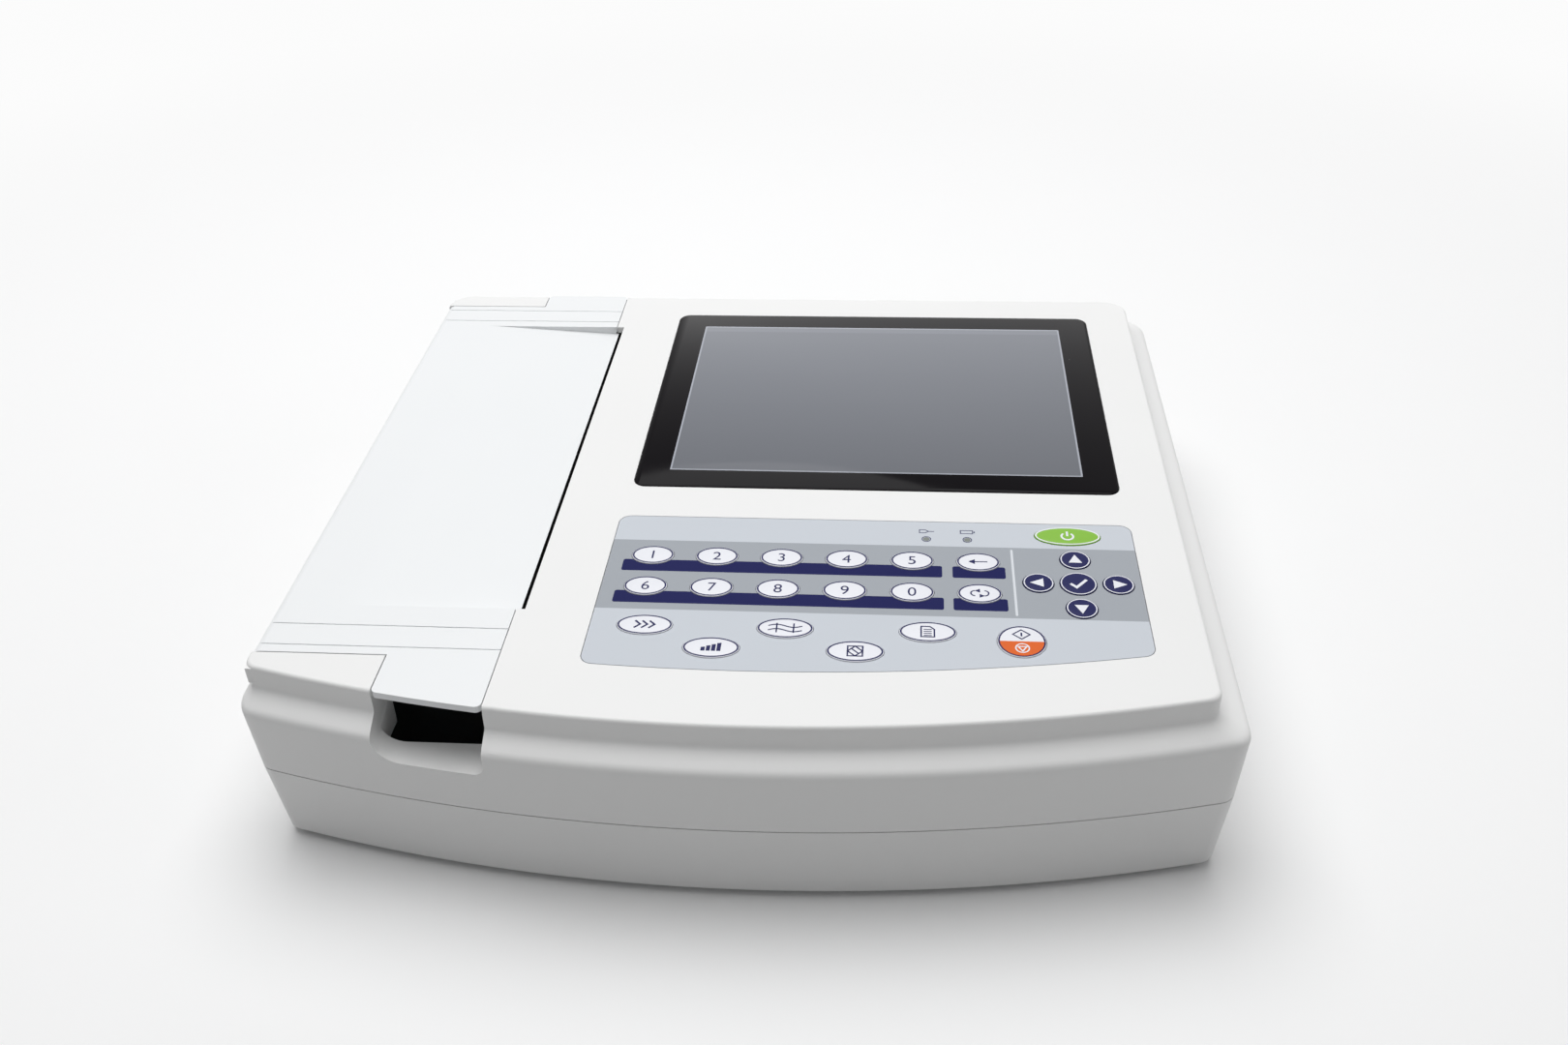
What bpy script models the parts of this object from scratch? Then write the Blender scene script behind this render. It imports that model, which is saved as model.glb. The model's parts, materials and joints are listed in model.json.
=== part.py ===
"""A twelve-channel ECG recorder: a low wedge-shaped case with a thermal printer under a lid on its left, and a
touch screen above a keypad on its right.

All sizes are in millimetres and become metres when a mesh is made. +X is to the operator's right, +Y away from
the operator, +Z up, and the origin lies under the middle of the case, level with the soles of its feet.
The sloping top is called the deck. Pieces on or under it are modelled in the deck's own frame, whose origin is
the middle of the screen: x as in the case, v up the slope towards the back, w out of the deck.
"""

import math

import bmesh
import bpy
from mathutils import Matrix, Vector

MM = 0.001

# ---- driving sizes of the case -------------------------------------------------------------------------
CASE_WIDTH = 347.0
CASE_DEPTH = 324.0
FOOT_HEIGHT = 3.5
PARTING_Z = 34.5
DECK_TILT = math.radians(2.0)
DECK_HEIGHT_AT_SCREEN = 82.5
SCREEN_FROM_BACK = 102.5
FRONT_RADIUS = 655.0
WALL = 2.8
DECK_SKIN = 3.0
CASE_GAP = 0.3
CLEARANCE = 0.3

LEFT = -CASE_WIDTH / 2
RIGHT = CASE_WIDTH / 2
FRONT = -CASE_DEPTH / 2
BACK = CASE_DEPTH / 2
DECK_Y = BACK - SCREEN_FROM_BACK
DECK_Z = DECK_HEIGHT_AT_SCREEN
FLOOR_TOP = FOOT_HEIGHT + WALL

# Insets of the case's outline from its widest line, in the order left, right, front, back.
LEDGE_INSET = (0.0, 0.0, 0.0, 0.0)
STEP_INSET = (2.6, 10.8, 8.2, 8.4)
PARTING_INSET = 1.5
BOTTOM_INSET = 5.2
LEDGE_DROP = 13.0
GROOVE_DROP = 8.8
FRONT_CORNER = 8.0
BACK_CORNER = 14.0
ARC_STEPS = 12
CORNER_STEPS = 4

# ---- driving sizes of the printer ----------------------------------------------------------------------
PAPER_WIDTH = 210.0
ROLL_RADIUS = 22.5
CORE_RADIUS = 6.5
SPOOL_PIN_RADIUS = 4.0
LID_WIDTH = 91.5
LID_THICKNESS = 2.6
LID_GAP = 0.5
LID_BACK_V = 82.5
LID_END_BAND = 27.0
RECESS_BACK_V = 61.9
RECESS_DEPTH = 3.6
RECESS_RUN = 62.5
SLIT_WIDTH = 4.6
TAB_WIDTH = 39.2
HINGE_RADIUS = 3.4
HINGE_PIN_RADIUS = 1.2
PLATEN_RADIUS = 7.0
PLATEN_SHAFT_RADIUS = 2.5
PLATEN_DROP = 13.5
HEAD_ANGLE = math.radians(-35.0)
HEAD_DEPTH = 8.0
HEAD_HEIGHT = 12.0
FRAME_WALL = 2.5
END_PLATE = 3.0
MOTOR_RADIUS = 12.0
MOTOR_LENGTH = 18.0
MOTOR_SHAFT_RADIUS = 1.5
GEAR_MODULE = 0.85
GEAR_THICKNESS = 5.0
PLATEN_TEETH = 15
IDLER_TEETH = 28
PINION_TEETH = 12
IDLER_STUB_RADIUS = 2.0

SEAM_X = LEFT + LID_WIDTH
RECESS_LENGTH = PAPER_WIDTH + 7.7
RECESS_FRONT_V = RECESS_BACK_V - RECESS_LENGTH
LID_FRONT_V = RECESS_FRONT_V - LID_END_BAND
PAPER_V = (RECESS_FRONT_V + RECESS_BACK_V) / 2
HINGE_X = LEFT + STEP_INSET[0] + HINGE_RADIUS
HINGE_W = -HINGE_RADIUS
SLIT_RIGHT = SEAM_X + 3.2
LIP_X = SLIT_RIGHT - SLIT_WIDTH
PLATEN_X = LIP_X - PLATEN_RADIUS + 0.1
PLATEN_W = -PLATEN_DROP
ROLL_X = HINGE_X + 31.5
ROLL_W = -ROLL_RADIUS - 13.5

# ---- driving sizes of the console ----------------------------------------------------------------------
CONSOLE_X = (SEAM_X + RIGHT) / 2 - 0.9
GLASS_WIDTH = 194.6
GLASS_HEIGHT = 149.8
GLASS_THICKNESS = 1.8
GLASS_PROUD = 0.4
GLASS_CORNER = 5.0
SCREEN_WIDTH = 167.7
SCREEN_HEIGHT = 125.8
LCD_BORDER = 5.0
LCD_THICKNESS = 6.0
KEYPAD_HALF_WIDTH = 98.5
KEYPAD_TOP_V = -96.0
KEYPAD_FRONT_V = -186.0
KEYPAD_FRONT_RADIUS = 740.0
KEYPAD_CORNER = 4.5
OVERLAY_THICKNESS = 0.9
OVERLAY_RECESS = 1.2
KEY_PROUD = 0.35
KEY_FLANGE = 0.5
KEY_CLEARANCE = 0.25
KEY_FLANGE_TOP = -OVERLAY_RECESS - 0.05
KEY_FOOT_W = -3.0
KEY_SIDES = 12
KEY_BOARD_TOP_W = -DECK_SKIN - 0.8
BOARD_THICKNESS = 1.6

NUMBER_PITCH_X = 24.4
NUMBER_FIRST_X = CONSOLE_X - 82.05
NUMBER_ROWS_V = (-121.5, -140.5)
NUMBER_KEY = (15.9, 11.1)
FUNCTION_PITCH_X = 25.0
FUNCTION_FIRST_X = CONSOLE_X - 78.9
FUNCTION_ROWS_V = (-163.0, -174.5)
FUNCTION_KEY = (19.9, 11.0)
PAD_X = CONSOLE_X + 75.8
PAD_V = -133.3
PAD_PITCH = 14.4
ARROW_KEY = (11.2, 11.2)
OK_KEY = (13.3, 13.3)
POWER_KEY = (24.8, 11.6)
START_KEY = (16.9, 16.9)

NUMBER_NAMES = (
    ("key_1", "key_2", "key_3", "key_4", "key_5", "key_backspace"),
    ("key_6", "key_7", "key_8", "key_9", "key_0", "key_shift"),
)
FUNCTION_NAMES = ("key_speed", "key_gain", "key_filter", "key_mode", "key_print")

# ---- electronics and ports -----------------------------------------------------------------------------
MAIN_BOARD = ((45.0, -110.0), (162.0, 50.0))
MAIN_BOARD_Z = 12.0
BOARD_POST_RADIUS = 3.5
BATTERY_BAY = ((-55.0, -125.0), (35.0, -50.0))
BATTERY_HEIGHT = 20.0
BAY_RIB = 2.0
DOOR_GAP = 0.5
BATTERY_GAP = 0.8
POWER_SUPPLY = ((48.0, 68.0), (140.0, 134.0))
POWER_SUPPLY_HEIGHT = 30.0
PORT_Z = 20.2
ECG_PORT_Y = -62.0
USB_PORT_Y = -12.0
LAN_PORT_Y = 20.0
INLET_X = 112.0
ROCKER_X = 78.0
STUD_X = 146.0

FOOT_PLACES = {"foot_front_left": (-132.0, -108.0), "foot_front_right": (132.0, -108.0),
               "foot_back_left": (-132.0, 132.0), "foot_back_right": (132.0, 132.0)}
FOOT_RADIUS = 9.0
FOOT_RECESS = 1.1
SCREW_INSETS = {"case_screw_front_left": (25.5, 32.0), "case_screw_front_right": (-20.0, 44.0),
                "case_screw_back_left": (25.5, -14.5), "case_screw_back_right": (-18.0, -20.0)}
SCREW_RADIUS = 1.5
SCREW_HEAD_RADIUS = 3.2
SCREW_HEAD_HEIGHT = 2.2
SCREW_LENGTH = 34.0
COLUMN_RADIUS = 5.0

# ---- colours and finishes: red, green, blue, roughness, metallic -------------------------------------------
FINISHES = {
    "case_white": (0.83, 0.84, 0.83, 0.45, 0.0),
    "lid_white": (0.84, 0.85, 0.86, 0.40, 0.0),
    "overlay_grey": (0.62, 0.65, 0.69, 0.45, 0.0),
    "key_white": (0.86, 0.87, 0.93, 0.40, 0.0),
    "key_navy": (0.02, 0.03, 0.17, 0.40, 0.0),
    "key_green": (0.28, 0.55, 0.05, 0.40, 0.0),
    "key_orange": (0.80, 0.18, 0.02, 0.40, 0.0),
    "glass_black": (0.01, 0.01, 0.012, 0.08, 0.0),
    "lcd_grey": (0.22, 0.23, 0.26, 0.30, 0.0),
    "rubber_black": (0.02, 0.02, 0.02, 0.80, 0.0),
    "frame_grey": (0.25, 0.26, 0.27, 0.55, 0.0),
    "steel": (0.60, 0.60, 0.61, 0.30, 1.0),
    "brass": (0.75, 0.58, 0.25, 0.30, 1.0),
    "nylon": (0.85, 0.84, 0.78, 0.50, 0.0),
    "paper": (0.93, 0.93, 0.91, 0.80, 0.0),
    "board_green": (0.03, 0.22, 0.09, 0.50, 0.0),
    "plastic_black": (0.02, 0.02, 0.02, 0.50, 0.0),
    "battery_blue": (0.05, 0.12, 0.35, 0.50, 0.0),
    "tin": (0.62, 0.62, 0.60, 0.35, 1.0),
}


# ---- scene, frames and helpers -------------------------------------------------------------------------
for old in list(bpy.data.objects):
    bpy.data.objects.remove(old)

PARTS = bpy.data.collections.new("ecg_recorder")
CUTTERS = bpy.data.collections.new("cutters")
for collection in (PARTS, CUTTERS):
    bpy.context.scene.collection.children.link(collection)

MATERIALS = {}
for finish, (red, green, blue, roughness, metallic) in FINISHES.items():
    material = bpy.data.materials.new(finish)
    material.use_nodes = True
    shader = material.node_tree.nodes["Principled BSDF"]
    shader.inputs["Base Color"].default_value = (red, green, blue, 1)
    shader.inputs["Roughness"].default_value = roughness
    shader.inputs["Metallic"].default_value = metallic
    material.diffuse_color = (red, green, blue, 1)
    MATERIALS[finish] = material

CASE = bpy.data.objects.new("case_frame", None)
DECK = bpy.data.objects.new("deck_frame", None)
for frame in (CASE, DECK):
    PARTS.objects.link(frame)
DECK.location = (0, DECK_Y * MM, DECK_Z * MM)
DECK.rotation_euler = (DECK_TILT, 0, 0)


def deck_z(y, drop=0.0):
    """Height of the deck above the feet at that y, in the case frame, less a drop square to the deck."""
    return DECK_Z + (y - DECK_Y) * math.tan(DECK_TILT) - drop / math.cos(DECK_TILT)


def deck_v(y):
    """The deck's v of a point on it that lies at that y."""
    return (y - DECK_Y) / math.cos(DECK_TILT)


def add(name, mesh, frame=CASE):
    """An object in the cutters' collection until finish() makes it a part."""
    obj = bpy.data.objects.new(name, mesh)
    CUTTERS.objects.link(obj)
    obj.parent = frame
    obj.hide_render = True
    obj.display_type = "WIRE"
    return obj


def mesh_from(name, bm):
    bmesh.ops.scale(bm, vec=(MM, MM, MM), verts=bm.verts)
    bmesh.ops.recalc_face_normals(bm, faces=bm.faces)
    mesh = bpy.data.meshes.new(name)
    bm.to_mesh(mesh)
    bm.free()
    return mesh


def box(name, low, high, frame=CASE, turn=None):
    """A box from its lowest to its highest corner. turn rotates it about its own middle."""
    low, high = Vector(low), Vector(high)
    bm = bmesh.new()
    bmesh.ops.create_cube(bm, size=1)
    bmesh.ops.scale(bm, vec=high - low, verts=bm.verts)
    if turn is not None:
        bmesh.ops.rotate(bm, matrix=turn, verts=bm.verts)
    bmesh.ops.translate(bm, vec=(low + high) / 2, verts=bm.verts)
    return add(name, mesh_from(name, bm), frame)


def cylinder(name, radius, start, end, frame=CASE, sides=16, end_radius=None):
    """A cylinder, or a cone, from one point of its axis to another."""
    start, end = Vector(start), Vector(end)
    bm = bmesh.new()
    bmesh.ops.create_cone(bm, cap_ends=True, segments=sides, radius1=radius,
                          radius2=radius if end_radius is None else end_radius, depth=(end - start).length)
    bmesh.ops.rotate(bm, matrix=(end - start).to_track_quat("Z", "Y").to_matrix(), verts=bm.verts)
    bmesh.ops.translate(bm, vec=(start + end) / 2, verts=bm.verts)
    return add(name, mesh_from(name, bm), frame)


def prism(name, outlines, low, high, frame=CASE, along="Z"):
    """Flat outlines, the first the outside and the rest holes, drawn out from low to high along Z or Y.
    Along Y, an outline's two numbers are x and height."""
    curve = bpy.data.curves.new(name, "CURVE")
    curve.dimensions = "2D"
    curve.fill_mode = "BOTH"
    curve.extrude = (high - low) / 2 * MM
    for outline in outlines:
        spline = curve.splines.new("POLY")
        spline.points.add(len(outline) - 1)
        for point, (a, b) in zip(spline.points, outline):
            point.co = (a * MM, b * MM, 0, 1)
        spline.use_cyclic_u = True
    flat = bpy.data.objects.new(name, curve)
    CUTTERS.objects.link(flat)
    bpy.context.view_layer.update()
    mesh = bpy.data.meshes.new_from_object(flat.evaluated_get(bpy.context.evaluated_depsgraph_get()))
    mesh.materials.clear()
    bpy.data.objects.remove(flat)
    bm = bmesh.new()
    bm.from_mesh(mesh)
    bmesh.ops.remove_doubles(bm, verts=bm.verts, dist=1e-6)
    middle = (low + high) / 2 * MM
    if along == "Z":
        bmesh.ops.translate(bm, vec=(0, 0, middle), verts=bm.verts)
    else:
        bmesh.ops.rotate(bm, matrix=Matrix.Rotation(math.pi / 2, 3, "X"), verts=bm.verts)
        bmesh.ops.translate(bm, vec=(0, middle, 0), verts=bm.verts)
    bmesh.ops.recalc_face_normals(bm, faces=bm.faces)
    bm.to_mesh(mesh)
    bm.free()
    return add(name, mesh, frame)


def loft(name, rings, frame=CASE):
    """A closed solid through rings of equal count, each a list of points."""
    bm = bmesh.new()
    rows = [[bm.verts.new(point) for point in ring] for ring in rings]
    for lower, upper in zip(rows, rows[1:]):
        for i in range(len(lower)):
            j = (i + 1) % len(lower)
            bm.faces.new((lower[i], lower[j], upper[j], upper[i]))
    bm.faces.new(list(reversed(rows[0])))
    bm.faces.new(rows[-1])
    return add(name, mesh_from(name, bm), frame)


def combine(obj, other, operation):
    modifier = obj.modifiers.new(f"{operation.lower()} {other.name}", "BOOLEAN")
    modifier.object = other
    modifier.operation = operation
    return obj


def join(obj, *others):
    for other in others:
        combine(obj, other, "UNION")
    return obj


def cut(obj, *others):
    for other in others:
        combine(obj, other, "DIFFERENCE")
    return obj


def finish(obj, finish_name, origin=None):
    """Makes an object a part, with its finish, and with its origin on its joint's axis if it has one."""
    CUTTERS.objects.unlink(obj)
    PARTS.objects.link(obj)
    obj.hide_render = False
    obj.display_type = "TEXTURED"
    obj.data.materials.clear()
    obj.data.materials.append(MATERIALS[finish_name])
    obj.data.shade_smooth()
    obj.data.set_sharp_from_angle(angle=math.radians(35))
    if origin is not None:
        place = Vector(origin) * MM
        obj.data.transform(Matrix.Translation(-place))
        obj.location = place
    return obj


# ---- outlines ------------------------------------------------------------------------------------------
def arc(centre, radius, first, last, steps):
    """Points of an arc, both ends included. Angles are in radians."""
    return [(centre[0] + radius * math.cos(first + (last - first) * i / steps),
             centre[1] + radius * math.sin(first + (last - first) * i / steps)) for i in range(steps + 1)]


def bowed_outline(left, right, front, back, bow, front_corner, back_corner):
    """A rectangle whose front edge is an arc of radius bow, furthest out at x = 0, with rounded corners.
    It runs anticlockwise from the front left."""
    middle = front + bow

    def corner_centre(side):
        across = side - math.copysign(front_corner, side)
        return across, middle - math.sqrt((bow - front_corner) ** 2 - across**2)

    right_centre, left_centre = corner_centre(right), corner_centre(left)
    right_turn = math.atan2(right_centre[1] - middle, right_centre[0])
    left_turn = math.atan2(left_centre[1] - middle, left_centre[0])
    return (
        arc((0, middle), bow, left_turn, right_turn, ARC_STEPS)
        + arc(right_centre, front_corner, right_turn, 0, CORNER_STEPS)[1:]
        + arc((right - back_corner, back - back_corner), back_corner, 0, math.pi / 2, CORNER_STEPS)
        + arc((left + back_corner, back - back_corner), back_corner, math.pi / 2, math.pi, CORNER_STEPS)
        + arc(left_centre, front_corner, -math.pi, left_turn, CORNER_STEPS)[:-1]
    )


def case_outline(inset):
    """The case's outline, inset from its widest line by one number or by (left, right, front, back)."""
    left, right, front, back = inset if isinstance(inset, tuple) else (inset,) * 4
    return bowed_outline(LEFT + left, RIGHT - right, FRONT + front, BACK - back, FRONT_RADIUS - front,
                         max(FRONT_CORNER - front * 0.3, 2.0), max(BACK_CORNER - back * 0.5, 2.0))


def more(inset, extra):
    return tuple(side + extra for side in inset)


def flat_ring(inset, z):
    return [(x, y, z) for x, y in case_outline(inset)]


def deck_ring(inset, drop):
    return [(x, y, deck_z(y, drop)) for x, y in case_outline(inset)]


def rounded(left, right, low, high, radius, steps=3):
    return (arc((right - radius, low + radius), radius, -math.pi / 2, 0, steps)
            + arc((right - radius, high - radius), radius, 0, math.pi / 2, steps)
            + arc((left + radius, high - radius), radius, math.pi / 2, math.pi, steps)
            + arc((left + radius, low + radius), radius, math.pi, 3 * math.pi / 2, steps))


def oval(x, v, width, height, grow=0.0, sides=KEY_SIDES):
    return [(x + (width / 2 + grow) * math.cos(2 * math.pi * i / sides),
             v + (height / 2 + grow) * math.sin(2 * math.pi * i / sides)) for i in range(sides)]


def ribbon(points, thickness):
    """The outline of a bent strip of even thickness whose middle line runs through the points."""
    points = [Vector(point) for point in points]
    sides = ([], [])
    for i, point in enumerate(points):
        before = (point - points[i - 1]).normalized() if i else None
        after = (points[i + 1] - point).normalized() if i + 1 < len(points) else None
        along = ((before or after) + (after or before)).normalized()
        normal = Vector((-along.y, along.x))
        straight = before or after
        reach = thickness / 2 / max(normal.dot(Vector((-straight.y, straight.x))), 0.3)
        sides[0].append(tuple(point + normal * reach))
        sides[1].append(tuple(point - normal * reach))
    return sides[1] + sides[0][::-1]


# ---- case ----------------------------------------------------------------------------------------------
def case_volume(name):
    """The outside of the upper case as one solid: wall, rounded ledge, groove and deck."""
    return loft(name, [
        flat_ring(PARTING_INSET, PARTING_Z + CASE_GAP / 2),
        deck_ring(LEDGE_INSET, LEDGE_DROP + 3.2),
        deck_ring(more(LEDGE_INSET, 0.4), LEDGE_DROP + 0.9),
        deck_ring(more(LEDGE_INSET, 1.6), LEDGE_DROP - 0.2),
        deck_ring(STEP_INSET, GROOVE_DROP),
        deck_ring(STEP_INSET, 1.6),
        deck_ring(more(STEP_INSET, 0.5), 0.5),
        deck_ring(more(STEP_INSET, 1.6), 0.0),
    ])


def screw_place(name):
    from_side, from_end = SCREW_INSETS[name]
    x = (LEFT if from_side > 0 else RIGHT) + from_side
    y = (FRONT if from_end > 0 else BACK) + from_end
    return x, y


TAB_LEFT = SEAM_X - TAB_WIDTH - 2 * LID_GAP
NOTCH_FLOOR = deck_z(FRONT, 23.0)
NOTCH_BACK_Y = FRONT + 27.0
REAR_NOTCH_FLOOR = deck_z(BACK, 24.0)
REAR_NOTCH_FRONT_Y = DECK_Y + LID_BACK_V + 3.5
STRIP_TOP = LID_THICKNESS + CLEARANCE
STRIP_DEPTH = 2.7
STRIP_REACH = 4.5
BOSS_LENGTH = 8.0


def finger_notch(name, low_y, high_y, floor, round_left, round_right):
    """The cut for fingers under a tab of the lid, with rounded lower corners, open at the top."""
    left, right, top = TAB_LEFT + 0.1, SEAM_X - 0.1, deck_z(BACK, -30.0)
    outline = (arc((left + round_left, floor + round_left), round_left, math.pi, 3 * math.pi / 2, 4)
               + arc((right - round_right, floor + round_right), round_right, -math.pi / 2, 0, 3)
               + [(right, top), (left, top)])
    return prism(name, [outline], low_y, high_y, CASE, "Y")


def notch_block(name, low_y, high_y, floor):
    """The walls round a finger notch, kept inside the case's own volume."""
    block = box(name, (TAB_LEFT - WALL, low_y, floor - WALL), (SEAM_X + WALL, high_y, deck_z(BACK, -5.0)))
    return combine(block, case_volume(name + "_limit"), "INTERSECT")


def upper_case():
    case = case_volume("upper_case")
    inside = loft("upper_inside", [
        flat_ring(PARTING_INSET + WALL, PARTING_Z - 6.0),
        deck_ring(more(LEDGE_INSET, WALL), LEDGE_DROP + 5.0),
        deck_ring(more(STEP_INSET, WALL), LEDGE_DROP - 1.0),
        deck_ring(more(STEP_INSET, WALL), DECK_SKIN),
    ])
    cut(case, inside)

    # The strips that the lid's two ends lie on, and the bosses that hold the hinge pin.
    for end, v_low, v_high in (("front", LID_FRONT_V - 3.0, LID_FRONT_V + STRIP_REACH),
                               ("back", LID_BACK_V - STRIP_REACH, LID_BACK_V + 3.0)):
        join(case, box(f"{end}_strip", (LEFT + 8.0, v_low, -STRIP_TOP - STRIP_DEPTH),
                       (SEAM_X + 2.0, v_high, -DECK_SKIN + 1.0), DECK))
    for end, v_low, v_high in (("front", LID_FRONT_V - LID_GAP - BOSS_LENGTH, LID_FRONT_V - LID_GAP + 2.0),
                               ("back", LID_BACK_V + LID_GAP - 2.0, LID_BACK_V + LID_GAP + BOSS_LENGTH)):
        join(case, box(f"{end}_pin_boss", (HINGE_X - 2.5, v_low, HINGE_W - 4.0),
                       (HINGE_X + 4.0, v_high, -1.0), DECK))
    join(case, notch_block("front_notch_block", FRONT - 5.0, NOTCH_BACK_Y + WALL, NOTCH_FLOOR))
    join(case, notch_block("rear_notch_block", REAR_NOTCH_FRONT_Y - WALL, BACK + 5.0, REAR_NOTCH_FLOOR))
    for name in SCREW_INSETS:
        x, y = screw_place(name)
        column = cylinder(f"{name}_upper_column", COLUMN_RADIUS - 0.5, (x, y, PARTING_Z + CASE_GAP),
                          (x, y, deck_z(y, 1.5)))
        join(case, column)

    # The lid's own outline with its two tabs, the bay under it, and the slit that the paper leaves by.
    low_v, high_v = LID_FRONT_V - LID_GAP, LID_BACK_V + LID_GAP
    far_low_v, far_high_v = deck_v(FRONT) - 9.0, deck_v(BACK) + 9.0
    lid_cut = [(LEFT - 5, low_v), (TAB_LEFT, low_v), (TAB_LEFT, far_low_v), (SEAM_X, far_low_v),
               (SEAM_X, far_high_v), (TAB_LEFT, far_high_v), (TAB_LEFT, high_v), (LEFT - 5, high_v)]
    cut(case, prism("lid_cut", [lid_cut], -STRIP_TOP, 20.0, DECK))
    cut(case, box("barrel_cut", (LEFT - 7, low_v + 0.1, HINGE_W - HINGE_RADIUS - LID_GAP),
                  (HINGE_X + 5.0, high_v - 0.1, 7.0), DECK))
    cut(case, box("bay_cut", (HINGE_X + 3.0, LID_FRONT_V + STRIP_REACH, -14.0),
                  (SEAM_X - 0.2, LID_BACK_V - STRIP_REACH, 6.0), DECK))
    cut(case, box("slit_cut", (SEAM_X - 5, RECESS_FRONT_V, -12.0), (SLIT_RIGHT, RECESS_BACK_V, 8.0), DECK))
    cut(case, finger_notch("front_notch", FRONT - 12.0, NOTCH_BACK_Y, NOTCH_FLOOR, 8.0, 4.0))
    cut(case, finger_notch("rear_notch", REAR_NOTCH_FRONT_Y, BACK + 12.0, REAR_NOTCH_FLOOR, 6.0, 6.0))
    pin_reach = BOSS_LENGTH - 2.0
    cut(case, cylinder("pin_holes", HINGE_PIN_RADIUS + CLEARANCE, (HINGE_X, low_v - pin_reach, HINGE_W),
                       (HINGE_X, high_v + pin_reach, HINGE_W), DECK, 12))

    # Seats and windows of the glass and the keypad.
    half_w, half_h = GLASS_WIDTH / 2 + CLEARANCE, GLASS_HEIGHT / 2 + CLEARANCE
    seat = rounded(CONSOLE_X - half_w, CONSOLE_X + half_w, -half_h, half_h, GLASS_CORNER + CLEARANCE, 4)
    cut(case, prism("glass_seat", [seat], GLASS_PROUD - GLASS_THICKNESS - CLEARANCE, 5.0, DECK))
    cut(case, box("screen_window", (CONSOLE_X - SCREEN_WIDTH / 2 - 2, -SCREEN_HEIGHT / 2 - 2, -20.0),
                  (CONSOLE_X + SCREEN_WIDTH / 2 + 2, SCREEN_HEIGHT / 2 + 2, 5.0), DECK))
    cut(case, prism("keypad_seat", [keypad_outline(CLEARANCE)], -OVERLAY_RECESS, 5.0, DECK))
    cut(case, prism("keypad_window", [keypad_outline(-1.2)], -20.0, 5.0, DECK))
    for name in SCREW_INSETS:
        x, y = screw_place(name)
        hole_top = FOOT_HEIGHT + SCREW_HEAD_HEIGHT + SCREW_LENGTH + 1.5
        cut(case, cylinder(f"{name}_thread_hole", SCREW_RADIUS + CLEARANCE, (x, y, PARTING_Z - 5),
                           (x, y, hole_top), sides=10))
    return finish(case, "case_white")


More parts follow.
